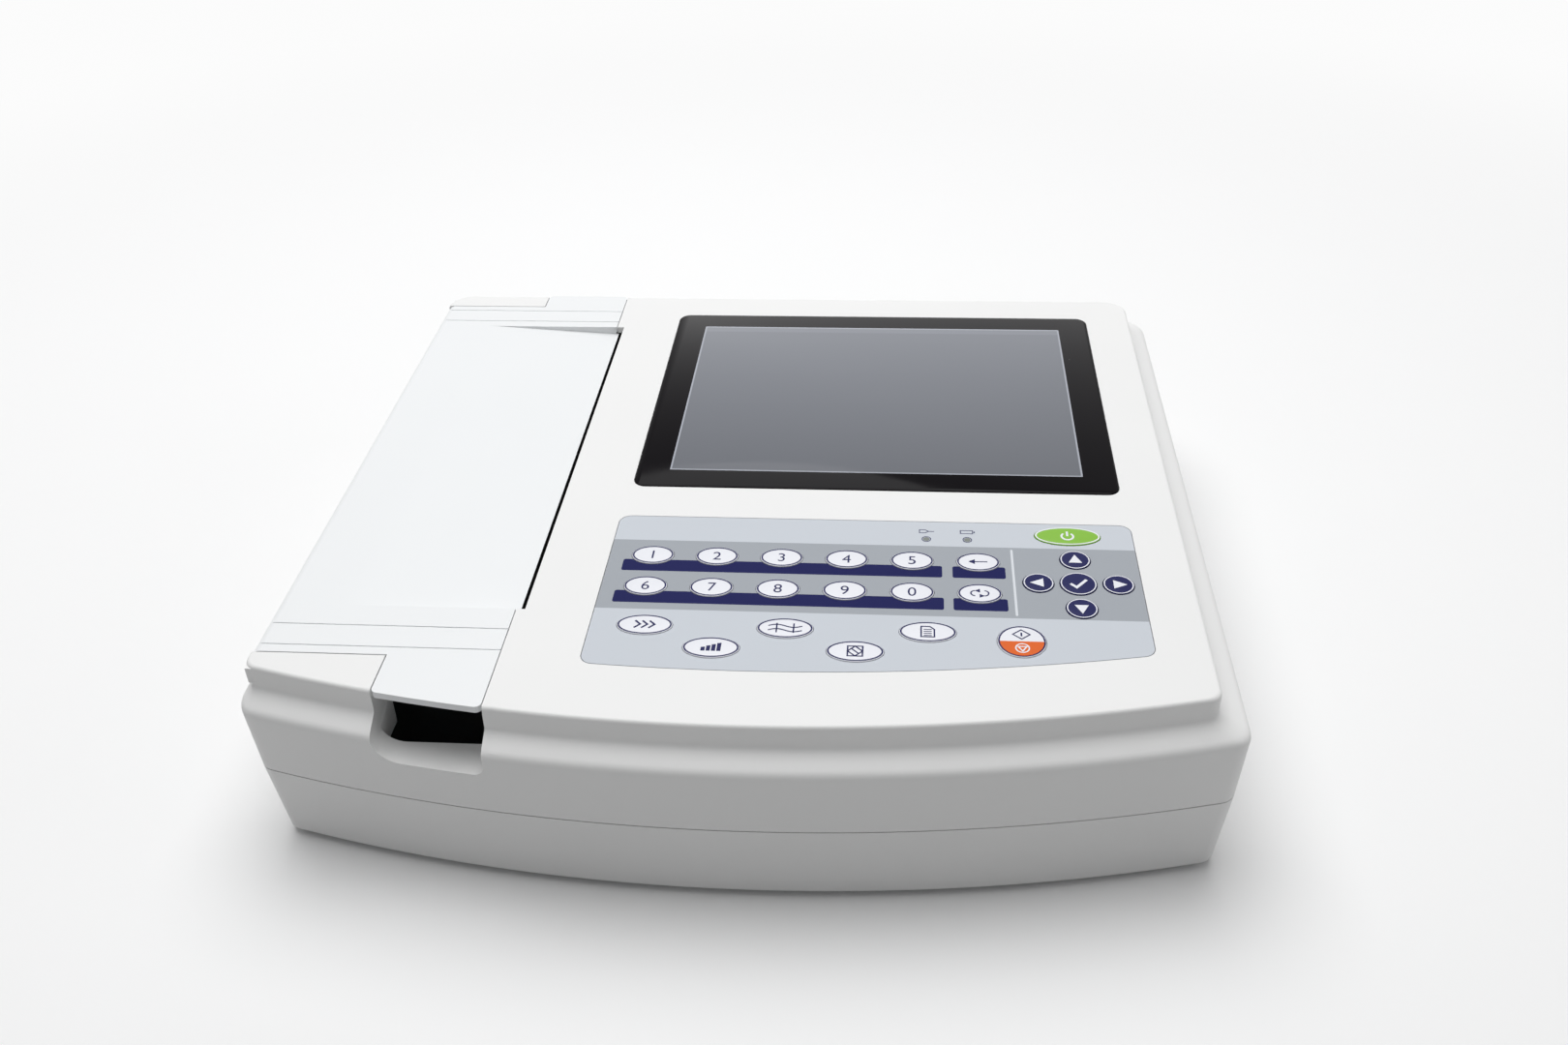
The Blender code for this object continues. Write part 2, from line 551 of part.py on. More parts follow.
def lower_case():
    case = loft("lower_case", [
        flat_ring(BOTTOM_INSET + 1.5, FOOT_HEIGHT),
        flat_ring(BOTTOM_INSET, FOOT_HEIGHT + 1.5),
        flat_ring(PARTING_INSET, PARTING_Z - CASE_GAP / 2),
    ])
    inside = loft("lower_inside", [
        flat_ring(BOTTOM_INSET + WALL, FLOOR_TOP),
        flat_ring(PARTING_INSET + WALL, PARTING_Z + 1.0),
    ])
    cut(case, inside)
    for name in SCREW_INSETS:
        x, y = screw_place(name)
        join(case, cylinder(f"{name}_lower_column", COLUMN_RADIUS, (x, y, FLOOR_TOP - 1),
                            (x, y, PARTING_Z - CASE_GAP)))
    for i, (x, v) in enumerate(frame_post_places()):
        y = DECK_Y + v * math.cos(DECK_TILT) - FRAME_FLOOR_W * math.sin(DECK_TILT)
        top = deck_z(y, -FRAME_FLOOR_W + FRAME_WALL / 2) - CLEARANCE - 0.15
        join(case, cylinder(f"frame_post_{i}", BOARD_POST_RADIUS, (x, y, FLOOR_TOP - 1), (x, y, top),
                            sides=10))
    (x_low, y_low), (x_high, y_high) = MAIN_BOARD
    for i, (x, y) in enumerate(((x_low + 8, y_low + 8), (x_high - 12, y_low + 8),
                                (x_low + 8, y_high - 8), (x_high - 12, y_high - 8))):
        join(case, cylinder(f"board_post_{i}", BOARD_POST_RADIUS, (x, y, FLOOR_TOP - 1),
                            (x, y, MAIN_BOARD_Z - CLEARANCE), sides=10))
    (x_low, y_low), (x_high, y_high) = BATTERY_BAY
    bay = box("battery_bay_ribs", (x_low - BAY_RIB, y_low - BAY_RIB, FLOOR_TOP - 1),
              (x_high + BAY_RIB, y_high + BAY_RIB, FLOOR_TOP + BATTERY_HEIGHT + 2))
    join(case, bay)
    cut(case, box("battery_bay", (x_low, y_low, -1), (x_high, y_high, FLOOR_TOP + BATTERY_HEIGHT + 5)))

    for name, (x, y) in FOOT_PLACES.items():
        cut(case, cylinder(f"{name}_recess", FOOT_RADIUS + CLEARANCE, (x, y, -1),
                           (x, y, FOOT_HEIGHT + FOOT_RECESS), sides=20))
    for name in SCREW_INSETS:
        x, y = screw_place(name)
        cut(case, cylinder(f"{name}_head_hole", SCREW_HEAD_RADIUS + CLEARANCE, (x, y, -1),
                           (x, y, FOOT_HEIGHT + SCREW_HEAD_HEIGHT + 0.6 + CLEARANCE), sides=12))
        cut(case, cylinder(f"{name}_shank_hole", SCREW_RADIUS + CLEARANCE, (x, y, 0), (x, y, PARTING_Z + 5),
                           sides=10))
    for i in range(7):
        x = -60.0 + i * 12.0
        cut(case, box(f"vent_{i}", (x, 60.0, 0), (x + 4.0, 110.0, FLOOR_TOP + 3)))

    # Port openings: three in the right wall and three in the back wall.
    for name, y, (width, height) in (("ecg", ECG_PORT_Y, ECG_BODY), ("usb", USB_PORT_Y, USB_BODY),
                                     ("lan", LAN_PORT_Y, LAN_BODY)):
        low_z = PORT_Z - height / 2 if name == "ecg" else SOCKET_FOOT_Z
        cut(case, box(f"{name}_opening", (RIGHT - 14, y - width / 2 - CLEARANCE, low_z - CLEARANCE),
                      (RIGHT + 5, y + width / 2 + CLEARANCE, low_z + height + CLEARANCE)))
    for name, x, (width, height) in (("inlet", INLET_X, INLET_BODY), ("rocker", ROCKER_X, ROCKER_BODY)):
        half_w, half_h = width / 2 + CLEARANCE, height / 2 + CLEARANCE
        cut(case, box(f"{name}_opening", (x - half_w, BACK - 14, PORT_Z - half_h),
                      (x + half_w, BACK + 5, PORT_Z + half_h)))
    cut(case, cylinder("stud_hole", STUD_RADIUS + CLEARANCE, (STUD_X, BACK - 14, PORT_Z),
                       (STUD_X, BACK + 5, PORT_Z), sides=12))
    return finish(case, "case_white")


def feet_and_screws():
    for name, (x, y) in FOOT_PLACES.items():
        foot = cylinder(name, FOOT_RADIUS - 0.8, (x, y, 0), (x, y, 1.2), sides=20, end_radius=FOOT_RADIUS)
        join(foot, cylinder(f"{name}_upper", FOOT_RADIUS, (x, y, 1.1),
                            (x, y, FOOT_HEIGHT + FOOT_RECESS - CLEARANCE), sides=20))
        finish(foot, "rubber_black")
    for name in SCREW_INSETS:
        x, y = screw_place(name)
        head_top = FOOT_HEIGHT + 0.6 + SCREW_HEAD_HEIGHT
        screw = cylinder(name, SCREW_HEAD_RADIUS, (x, y, FOOT_HEIGHT + 0.6), (x, y, head_top), sides=12)
        join(screw, cylinder(f"{name}_shank", SCREW_RADIUS, (x, y, head_top - 0.5),
                             (x, y, FOOT_HEIGHT + SCREW_LENGTH), sides=10))
        cut(screw, box(f"{name}_slot_a", (x - 2.0, y - 0.4, 0), (x + 2.0, y + 0.4, FOOT_HEIGHT + 1.7)),
            box(f"{name}_slot_b", (x - 0.4, y - 2.0, 0), (x + 0.4, y + 2.0, FOOT_HEIGHT + 1.7)))
        finish(screw, "steel")


# ---- console -------------------------------------------------------------------------------------------
def keypad_outline(grow):
    """The overlay's outline, grown or shrunk. Its front edge bows with the case."""
    middle = KEYPAD_FRONT_V + KEYPAD_FRONT_RADIUS
    left, right = CONSOLE_X - KEYPAD_HALF_WIDTH - grow, CONSOLE_X + KEYPAD_HALF_WIDTH + grow
    bow, corner = KEYPAD_FRONT_RADIUS + grow, KEYPAD_CORNER + grow
    centres = [(side - math.copysign(corner, side - CONSOLE_X)) for side in (left, right)]
    turns = []
    lows = []
    for across in centres:
        low = middle - math.sqrt((bow - corner) ** 2 - across**2)
        lows.append(low)
        turns.append(math.atan2(low - middle, across))
    top = KEYPAD_TOP_V + grow
    return (arc((0, middle), bow, turns[0], turns[1], 10)
            + arc((centres[1], lows[1]), corner, turns[1], 0, 3)[1:]
            + arc((right - corner, top - corner), corner, 0, math.pi / 2, 3)
            + arc((left + corner, top - corner), corner, math.pi / 2, math.pi, 3)
            + arc((centres[0], lows[0]), corner, -math.pi, turns[0], 3)[:-1])


def key_list():
    """Every key as (name, x, v, width, height, finish)."""
    keys = []
    for names, v in zip(NUMBER_NAMES, NUMBER_ROWS_V):
        for i, name in enumerate(names):
            keys.append((name, NUMBER_FIRST_X + i * NUMBER_PITCH_X, v, *NUMBER_KEY, "key_white"))
    for i, name in enumerate(FUNCTION_NAMES):
        x, v = FUNCTION_FIRST_X + i * FUNCTION_PITCH_X, FUNCTION_ROWS_V[i % 2]
        keys.append((name, x, v, *FUNCTION_KEY, "key_white"))
    for name, across, along in (("key_up", 0, 1), ("key_down", 0, -1), ("key_left", -1, 0),
                                ("key_right", 1, 0)):
        keys.append((name, PAD_X + across * PAD_PITCH, PAD_V + along * PAD_PITCH, *ARROW_KEY, "key_navy"))
    keys.append(("key_ok", PAD_X, PAD_V, *OK_KEY, "key_navy"))
    keys.append(("key_power", CONSOLE_X + 74.2, -103.9, *POWER_KEY, "key_green"))
    keys.append(("key_start_stop", CONSOLE_X + 53.5, -166.9, *START_KEY, "key_orange"))
    return keys


def console():
    half_w, half_h = GLASS_WIDTH / 2, GLASS_HEIGHT / 2
    outline = rounded(CONSOLE_X - half_w, CONSOLE_X + half_w, -half_h, half_h, GLASS_CORNER, 4)
    finish(prism("touch_glass", [outline], GLASS_PROUD - GLASS_THICKNESS, GLASS_PROUD, DECK), "glass_black")
    lcd_w, lcd_h = SCREEN_WIDTH / 2 + LCD_BORDER, SCREEN_HEIGHT / 2 + LCD_BORDER
    lcd_top = -DECK_SKIN - CLEARANCE
    finish(box("lcd_module", (CONSOLE_X - lcd_w, -lcd_h, lcd_top - LCD_THICKNESS),
               (CONSOLE_X + lcd_w, lcd_h, lcd_top), DECK), "lcd_grey")
    keys = key_list()
    holes = [oval(x, v, width, height, KEY_CLEARANCE) for _, x, v, width, height, _ in keys]
    overlay_low = -OVERLAY_RECESS + CLEARANCE
    overlay = prism("keypad_overlay", [keypad_outline(0.0)] + holes, overlay_low,
                    overlay_low + OVERLAY_THICKNESS, DECK)
    finish(overlay, "overlay_grey")
    for name, x, v, width, height, finish_name in keys:
        levels = ((KEY_FLANGE, KEY_FOOT_W), (KEY_FLANGE, KEY_FLANGE_TOP), (0.0, KEY_FLANGE_TOP),
                  (0.0, KEY_PROUD - 0.2), (-0.5, KEY_PROUD))
        rings = [[(a, b, w) for a, b in oval(x, v, width, height, grow)] for grow, w in levels]
        finish(loft(name, rings, DECK), finish_name, (x, v, KEY_PROUD))
    board = keypad_outline(-4.0)
    finish(prism("key_board", [board], KEY_BOARD_TOP_W - BOARD_THICKNESS, KEY_BOARD_TOP_W, DECK), "board_green")


# ---- printer -------------------------------------------------------------------------------------------
FRAME_LEFT = HINGE_X + 5.7
FRAME_FLOOR_W = ROLL_W - ROLL_RADIUS - 3.5
BAY_RIGHT = ROLL_X + ROLL_RADIUS + 3.2
RAMP_W = -34.0
PLATE_INNER = PAPER_WIDTH / 2 + 8.5
PLATE_OUTER = PLATE_INNER + END_PLATE
PLATE_TOP_W = -10.0
LUG_INNER = PAPER_WIDTH / 2 + 3.3
LUG_OUTER = LUG_INNER + 4.0
GEAR_START = PLATE_OUTER + 0.8
HEAD_NORMAL = Vector((math.cos(HEAD_ANGLE), math.sin(HEAD_ANGLE)))
HEAD_ALONG = Vector((-HEAD_NORMAL.y, HEAD_NORMAL.x))
PLATEN_CENTRE = Vector((PLATEN_X, PLATEN_W))
NIP = PLATEN_CENTRE + HEAD_NORMAL * (PLATEN_RADIUS + CLEARANCE)
HINGE_ARM = PLATEN_CENTRE - Vector((HINGE_X, HINGE_W))
LEAVING = Vector((-HINGE_ARM.y, HINGE_ARM.x)).normalized()
BACKLASH = 0.12


def pitch_radius(teeth):
    return GEAR_MODULE * teeth / 2


IDLER_CENTRE = PLATEN_CENTRE - LEAVING * (pitch_radius(PLATEN_TEETH) + pitch_radius(IDLER_TEETH) + BACKLASH)
PINION_TURN = Vector((0.30, -0.954)).normalized()
PINION_CENTRE = IDLER_CENTRE + PINION_TURN * (pitch_radius(IDLER_TEETH) + pitch_radius(PINION_TEETH) + BACKLASH)


def frame_post_places():
    return [(x, v) for x in (FRAME_LEFT + 6.0, BAY_RIGHT - 6.0) for v in (PAPER_V - 95.0, PAPER_V + 95.0)]


def printer_frame():
    """A tub for the paper roll with a sloping seat for the print head, between two end plates."""
    seat = NIP + HEAD_NORMAL * (HEAD_DEPTH + CLEARANCE + FRAME_WALL / 2)
    seat_low = seat - HEAD_ALONG * (HEAD_HEIGHT / 2)
    seat_high = seat + HEAD_ALONG * (HEAD_HEIGHT / 2)
    line = [(FRAME_LEFT + FRAME_WALL / 2, -14.0), (FRAME_LEFT + FRAME_WALL / 2, FRAME_FLOOR_W),
            (BAY_RIGHT, FRAME_FLOOR_W), (BAY_RIGHT, RAMP_W), (seat_low.x - 6.0, RAMP_W + 1.0),
            tuple(seat_low), tuple(seat_high)]
    tub_half = PLATE_INNER + 1.0
    frame = prism("printer_frame", [ribbon(line, FRAME_WALL)], PAPER_V - tub_half, PAPER_V + tub_half, DECK,
                  "Y")
    plate = [(FRAME_LEFT, FRAME_FLOOR_W - FRAME_WALL / 2), (seat_high.x + 2.0, FRAME_FLOOR_W - FRAME_WALL / 2),
             (seat_high.x + 2.0, PLATE_TOP_W - 6.0), (NIP.x + 2.0, PLATE_TOP_W), (FRAME_LEFT, PLATE_TOP_W)]
    for end, low, high in (("front", PAPER_V - PLATE_OUTER, PAPER_V - PLATE_INNER),
                           ("back", PAPER_V + PLATE_INNER, PAPER_V + PLATE_OUTER)):
        join(frame, prism(f"{end}_plate", [plate], low, high, DECK, "Y"))
    slot = arc((ROLL_X, ROLL_W), SPOOL_PIN_RADIUS + CLEARANCE, math.pi, 2 * math.pi, 6)
    slot = slot + [(slot[-1][0], 0.0), (slot[0][0], 0.0)]
    shaft = arc((PLATEN_X, PLATEN_W), PLATEN_SHAFT_RADIUS + 0.5, math.pi, 2 * math.pi, 6)
    shaft = shaft + [(shaft[-1][0] + 0.8, 0.0), (shaft[0][0], 0.0)]
    reach = (PAPER_V - PLATE_OUTER - 2, PAPER_V + PLATE_OUTER + 2)
    cut(frame, prism("spool_slots", [slot], *reach, DECK, "Y"),
        prism("shaft_slots", [shaft], *reach, DECK, "Y"))
    back = (PAPER_V + PLATE_INNER - 2, PAPER_V + PLATE_OUTER + 2)
    for name, centre, radius in (("idler_hole", IDLER_CENTRE, IDLER_STUB_RADIUS),
                                 ("motor_hole", PINION_CENTRE, MOTOR_SHAFT_RADIUS)):
        cut(frame, cylinder(name, radius + CLEARANCE, (centre.x, back[0], centre.y),
                            (centre.x, back[1], centre.y), DECK, 12))
    return finish(frame, "frame_grey")


def paper():
    """The roll of chart paper on its spool, whose pins lie in the slots of the end plates."""
    axis = (ROLL_X, PAPER_V, ROLL_W)
    half = PAPER_WIDTH / 2
    roll = cylinder("paper_roll", ROLL_RADIUS, (ROLL_X, PAPER_V - half, ROLL_W),
                    (ROLL_X, PAPER_V + half, ROLL_W), DECK, 32)
    cut(roll, cylinder("roll_bore", CORE_RADIUS + CLEARANCE, (ROLL_X, PAPER_V - half - 5, ROLL_W),
                       (ROLL_X, PAPER_V + half + 5, ROLL_W), DECK, 16))
    finish(roll, "paper", axis)
    spool = cylinder("paper_spool", CORE_RADIUS, (ROLL_X, PAPER_V - half - 1, ROLL_W),
                     (ROLL_X, PAPER_V + half + 1, ROLL_W), DECK, 16)
    for sign in (-1, 1):
        join(spool, cylinder(f"spool_flange_{sign}", 11.0, (ROLL_X, PAPER_V + sign * (half + 0.3), ROLL_W),
                             (ROLL_X, PAPER_V + sign * (half + 2.5), ROLL_W), DECK, 20),
             cylinder(f"spool_pin_{sign}", SPOOL_PIN_RADIUS, (ROLL_X, PAPER_V + sign * (half - 5), ROLL_W),
                      (ROLL_X, PAPER_V + sign * (PLATE_OUTER - 0.3), ROLL_W), DECK, 12))
    finish(spool, "nylon", axis)


def gear_outline(centre, teeth, tooth_angle):
    """Straight-flanked teeth, thinned for backlash, with one tooth's middle at tooth_angle."""
    pitch = 2 * math.pi / teeth
    radius = pitch_radius(teeth)
    shape = ((-0.29, radius - 1.0), (-0.12, radius + 0.62), (0.12, radius + 0.62), (0.29, radius - 1.0))
    points = []
    for i in range(teeth):
        for share, reach in shape:
            angle = tooth_angle + (i + share) * pitch
            points.append((centre.x + reach * math.cos(angle), centre.y + reach * math.sin(angle)))
    return points


def gear_train():
    """Platen gear, idler and motor pinion, in mesh: a tooth of one faces a gap of the next."""
    start, stop = PAPER_V + GEAR_START, PAPER_V + GEAR_START + GEAR_THICKNESS
    to_idler = math.atan2(-LEAVING.y, -LEAVING.x)
    to_pinion = math.atan2(PINION_TURN.y, PINION_TURN.x)
    idler_pitch, pinion_pitch = 2 * math.pi / IDLER_TEETH, 2 * math.pi / PINION_TEETH
    idler_tooth = to_idler + math.pi + idler_pitch / 2
    share = ((to_pinion - idler_tooth) / idler_pitch) % 1.0
    pinion_tooth = to_pinion + math.pi + (share + 0.5) * pinion_pitch

    platen_teeth = gear_outline(PLATEN_CENTRE, PLATEN_TEETH, to_idler)
    platen_gear = prism("platen_gear", [platen_teeth], start, stop, DECK, "Y")
    cut(platen_gear, cylinder("platen_gear_bore", PLATEN_SHAFT_RADIUS + CLEARANCE,
                              (PLATEN_X, start - 2, PLATEN_W), (PLATEN_X, stop + 2, PLATEN_W), DECK, 12))
    finish(platen_gear, "nylon", (PLATEN_X, start, PLATEN_W))
    idler_teeth = gear_outline(IDLER_CENTRE, IDLER_TEETH, idler_tooth)
    idler = prism("idler_gear", [idler_teeth], start, stop - 1, DECK, "Y")
    join(idler, cylinder("idler_stub", IDLER_STUB_RADIUS,
                         (IDLER_CENTRE.x, start - END_PLATE - 0.5, IDLER_CENTRE.y),
                         (IDLER_CENTRE.x, stop - 2, IDLER_CENTRE.y), DECK, 12))
    finish(idler, "nylon", (IDLER_CENTRE.x, start, IDLER_CENTRE.y))
    pinion_teeth = gear_outline(PINION_CENTRE, PINION_TEETH, pinion_tooth)
    pinion = prism("motor_pinion", [pinion_teeth], start, stop, DECK, "Y")
    motor_face = PAPER_V + PLATE_INNER - CLEARANCE
    join(pinion, cylinder("pinion_shaft", MOTOR_SHAFT_RADIUS,
                          (PINION_CENTRE.x, motor_face - 8, PINION_CENTRE.y),
                          (PINION_CENTRE.x, stop - 1, PINION_CENTRE.y), DECK, 12))
    finish(pinion, "brass", (PINION_CENTRE.x, start, PINION_CENTRE.y))
    motor = cylinder("stepper_motor", MOTOR_RADIUS,
                     (PINION_CENTRE.x, motor_face - MOTOR_LENGTH, PINION_CENTRE.y),
                     (PINION_CENTRE.x, motor_face, PINION_CENTRE.y), DECK, 20)
    cut(motor, cylinder("motor_bore", MOTOR_SHAFT_RADIUS + CLEARANCE,
                        (PINION_CENTRE.x, motor_face - 9, PINION_CENTRE.y),
                        (PINION_CENTRE.x, motor_face + 2, PINION_CENTRE.y), DECK, 12))
    finish(motor, "steel")


def platen():
    """The rubber roller on its steel shaft, which the lid carries."""
    half = PAPER_WIDTH / 2 + 2.0
    axis = (PLATEN_X, PAPER_V, PLATEN_W)
    roller = cylinder("platen_roller", PLATEN_RADIUS, (PLATEN_X, PAPER_V - half, PLATEN_W),
                      (PLATEN_X, PAPER_V + half, PLATEN_W), DECK, 24)
    cut(roller, cylinder("roller_bore", PLATEN_SHAFT_RADIUS + CLEARANCE,
                         (PLATEN_X, PAPER_V - half - 3, PLATEN_W),
                         (PLATEN_X, PAPER_V + half + 3, PLATEN_W), DECK, 12))
    finish(roller, "rubber_black", axis)
    shaft = cylinder("platen_shaft", PLATEN_SHAFT_RADIUS, (PLATEN_X, PAPER_V - PLATE_OUTER + 0.5, PLATEN_W),
                     (PLATEN_X, PAPER_V + GEAR_START + GEAR_THICKNESS + 0.8, PLATEN_W), DECK, 12)
    finish(shaft, "steel", axis)


def print_head():
    centre = NIP + HEAD_NORMAL * (HEAD_DEPTH / 2)
    half = PAPER_WIDTH / 2 + 3.0
    turn = Matrix.Rotation(-HEAD_ANGLE, 3, "Y")
    finish(box("print_head", (centre.x - HEAD_DEPTH / 2, PAPER_V - half, centre.y - HEAD_HEIGHT / 2),
               (centre.x + HEAD_DEPTH / 2, PAPER_V + half, centre.y + HEAD_HEIGHT / 2), DECK, turn), "tin")


def front_edge_v(x, inset):
    """The deck's v of the case's bowed front at that x, inset from its widest line."""
    radius = FRONT_RADIUS - inset
    return deck_v(FRONT + inset + radius - math.sqrt(radius**2 - x**2))


def printer_lid():
    """The lid: two flat end bands with tabs, a middle that slopes down to the slit, a barrel for the hinge
    pin, and two lugs for the platen shaft."""
    lid_right = SEAM_X - LID_GAP + 0.1
    tab_left = TAB_LEFT + LID_GAP
    front_inset = STEP_INSET[2] - 0.2
    tab_front = [(x, front_edge_v(x, front_inset)) for x in
                 (tab_left + 1.5, tab_left + TAB_WIDTH / 3, tab_left + 2 * TAB_WIDTH / 3, lid_right - 2.5)]
    front_band = [(HINGE_X, LID_FRONT_V), (tab_left, LID_FRONT_V), (tab_left, tab_front[0][1] + 1.5),
                  *tab_front, (lid_right, tab_front[-1][1] + 2.5), (lid_right, RECESS_FRONT_V),
                  (HINGE_X, RECESS_FRONT_V)]
    tab_back_v = deck_v(BACK - STEP_INSET[3] + 0.2)
    back_band = [(HINGE_X, RECESS_BACK_V), (lid_right, RECESS_BACK_V), (lid_right, tab_back_v - 1.5),
                 (lid_right - 1.5, tab_back_v), (tab_left + 1.5, tab_back_v), (tab_left, tab_back_v - 1.5),
                 (tab_left, LID_BACK_V), (HINGE_X, LID_BACK_V)]
    slope_start = LIP_X - RECESS_RUN
    middle = [(HINGE_X, 0.0), (HINGE_X, -LID_THICKNESS), (slope_start, -LID_THICKNESS),
              (LIP_X, -RECESS_DEPTH - LID_THICKNESS + 0.4), (LIP_X, -RECESS_DEPTH), (slope_start, 0.0)]
    lid = prism("printer_lid", [middle], RECESS_FRONT_V - 0.5, RECESS_BACK_V + 0.5, DECK, "Y")
    join(lid, prism("front_band", [front_band], -LID_THICKNESS, 0.0, DECK),
         prism("back_band", [back_band], -LID_THICKNESS, 0.0, DECK))
    for end, v_low, v_high in (("front", RECESS_FRONT_V - 2.0, RECESS_FRONT_V + 0.01),
                               ("back", RECESS_BACK_V - 0.01, RECESS_BACK_V + 2.0)):
        join(lid, box(f"{end}_rib", (slope_start - 2.0, v_low, -RECESS_DEPTH - LID_THICKNESS),
                      (LIP_X, v_high, -0.6), DECK))
    join(lid, cylinder("barrel", HINGE_RADIUS, (HINGE_X, LID_FRONT_V, HINGE_W), (HINGE_X, LID_BACK_V, HINGE_W),
                       DECK, 24))
    for end, sign in (("front", -1), ("back", 1)):
        low, high = sorted((PAPER_V + sign * LUG_INNER, PAPER_V + sign * LUG_OUTER))
        join(lid, box(f"{end}_lug", (PLATEN_X - 6.0, low, PLATEN_W - 4.0), (PLATEN_X + 5.0, high, -1.0), DECK))
    cut(lid, cylinder("lid_bore", HINGE_PIN_RADIUS + CLEARANCE, (HINGE_X, LID_FRONT_V - 5, HINGE_W),
                      (HINGE_X, LID_BACK_V + 5, HINGE_W), DECK, 12),
        cylinder("lug_bores", PLATEN_SHAFT_RADIUS + CLEARANCE, (PLATEN_X, PAPER_V - LUG_OUTER - 2, PLATEN_W),
                 (PLATEN_X, PAPER_V + LUG_OUTER + 2, PLATEN_W), DECK, 12))
    finish(lid, "lid_white", (HINGE_X, 0, HINGE_W))
    pin_reach = BOSS_LENGTH - 2.3
    finish(cylinder("lid_hinge_pin", HINGE_PIN_RADIUS, (HINGE_X, LID_FRONT_V - LID_GAP - pin_reach, HINGE_W),
                    (HINGE_X, LID_BACK_V + LID_GAP + pin_reach, HINGE_W), DECK, 12), "steel")


# ---- electronics and ports -----------------------------------------------------------------------------
SOCKET_FOOT_Z = MAIN_BOARD_Z + BOARD_THICKNESS + CLEARANCE
ECG_BODY = (27.0, 12.0)
ECG_FLANGE = (39.2, 12.6)
USB_BODY = (14.4, 7.2)
LAN_BODY = (16.0, 13.4)
INLET_BODY = (27.0, 19.6)
INLET_FLANGE = (31.0, 23.6)
ROCKER_BODY = (13.0, 19.0)
ROCKER_SWING = 1.2
STUD_RADIUS = 3.0


def wall_inset(z):
    """How far the lower case's wall lies inside the widest line at that height."""
    share = (z - FOOT_HEIGHT - 1.5) / (PARTING_Z - FOOT_HEIGHT - 1.5)
    return BOTTOM_INSET + (PARTING_INSET - BOTTOM_INSET) * share


def boards_and_battery():
    (x_low, y_low), (x_high, y_high) = MAIN_BOARD
    finish(box("main_board", (x_low, y_low, MAIN_BOARD_Z), (x_high, y_high, MAIN_BOARD_Z + BOARD_THICKNESS)),
           "board_green")
    (x_low, y_low), (x_high, y_high) = POWER_SUPPLY
    finish(box("power_supply", (x_low, y_low, FLOOR_TOP + CLEARANCE),
               (x_high, y_high, FLOOR_TOP + POWER_SUPPLY_HEIGHT)), "tin")
    (x_low, y_low), (x_high, y_high) = BATTERY_BAY
    gap = DOOR_GAP
    finish(box("battery_door", (x_low + gap, y_low + gap, FOOT_HEIGHT + 0.1),
               (x_high - gap, y_high - gap, FLOOR_TOP - CLEARANCE)), "case_white")
    gap = BATTERY_GAP
    finish(box("battery_pack", (x_low + gap, y_low + gap, FLOOR_TOP),
               (x_high - gap, y_high - gap, FLOOR_TOP + BATTERY_HEIGHT)), "battery_blue")


def side_ports():
    """Patient lead, USB and network sockets, which stand on the main board and look out of the right wall."""
    face = RIGHT - wall_inset(PORT_Z)
    ecg = box("ecg_socket", (face - 16, ECG_PORT_Y - ECG_BODY[0] / 2, PORT_Z - ECG_BODY[1] / 2),
              (face + 1.5, ECG_PORT_Y + ECG_BODY[0] / 2, PORT_Z + ECG_BODY[1] / 2))
    inner = face - WALL - 2.0
    join(ecg, box("ecg_flange", (inner - 2.0, ECG_PORT_Y - ECG_FLANGE[0] / 2, SOCKET_FOOT_Z),
                  (inner, ECG_PORT_Y + ECG_FLANGE[0] / 2, PORT_Z + ECG_FLANGE[1] / 2)))
    finish(ecg, "tin")
    usb = box("usb_socket", (face - 14, USB_PORT_Y - USB_BODY[0] / 2, SOCKET_FOOT_Z),
              (face + 0.6, USB_PORT_Y + USB_BODY[0] / 2, SOCKET_FOOT_Z + USB_BODY[1]))
    cut(usb, box("usb_mouth", (face - 12, USB_PORT_Y - USB_BODY[0] / 2 + 0.8, SOCKET_FOOT_Z + 0.8),
                 (face + 5, USB_PORT_Y + USB_BODY[0] / 2 - 0.8, SOCKET_FOOT_Z + USB_BODY[1] - 0.8)))
    join(usb, box("usb_tongue", (face - 13, USB_PORT_Y - 5.5, SOCKET_FOOT_Z + USB_BODY[1] - 2.6),
                  (face - 2, USB_PORT_Y + 5.5, SOCKET_FOOT_Z + USB_BODY[1] - 0.6)))
    finish(usb, "tin")
    lan = box("lan_socket", (face - 20, LAN_PORT_Y - LAN_BODY[0] / 2, SOCKET_FOOT_Z),
              (face + 0.6, LAN_PORT_Y + LAN_BODY[0] / 2, SOCKET_FOOT_Z + LAN_BODY[1]))
    cut(lan, box("lan_mouth", (face - 15, LAN_PORT_Y - 5.9, SOCKET_FOOT_Z + 3.8),
                 (face + 5, LAN_PORT_Y + 5.9, SOCKET_FOOT_Z + LAN_BODY[1] - 1.2)))
    cut(lan, box("lan_key", (face - 15, LAN_PORT_Y - 3.0, SOCKET_FOOT_Z + 1.6),
                 (face + 5, LAN_PORT_Y + 3.0, SOCKET_FOOT_Z + 5)))
    finish(lan, "tin")


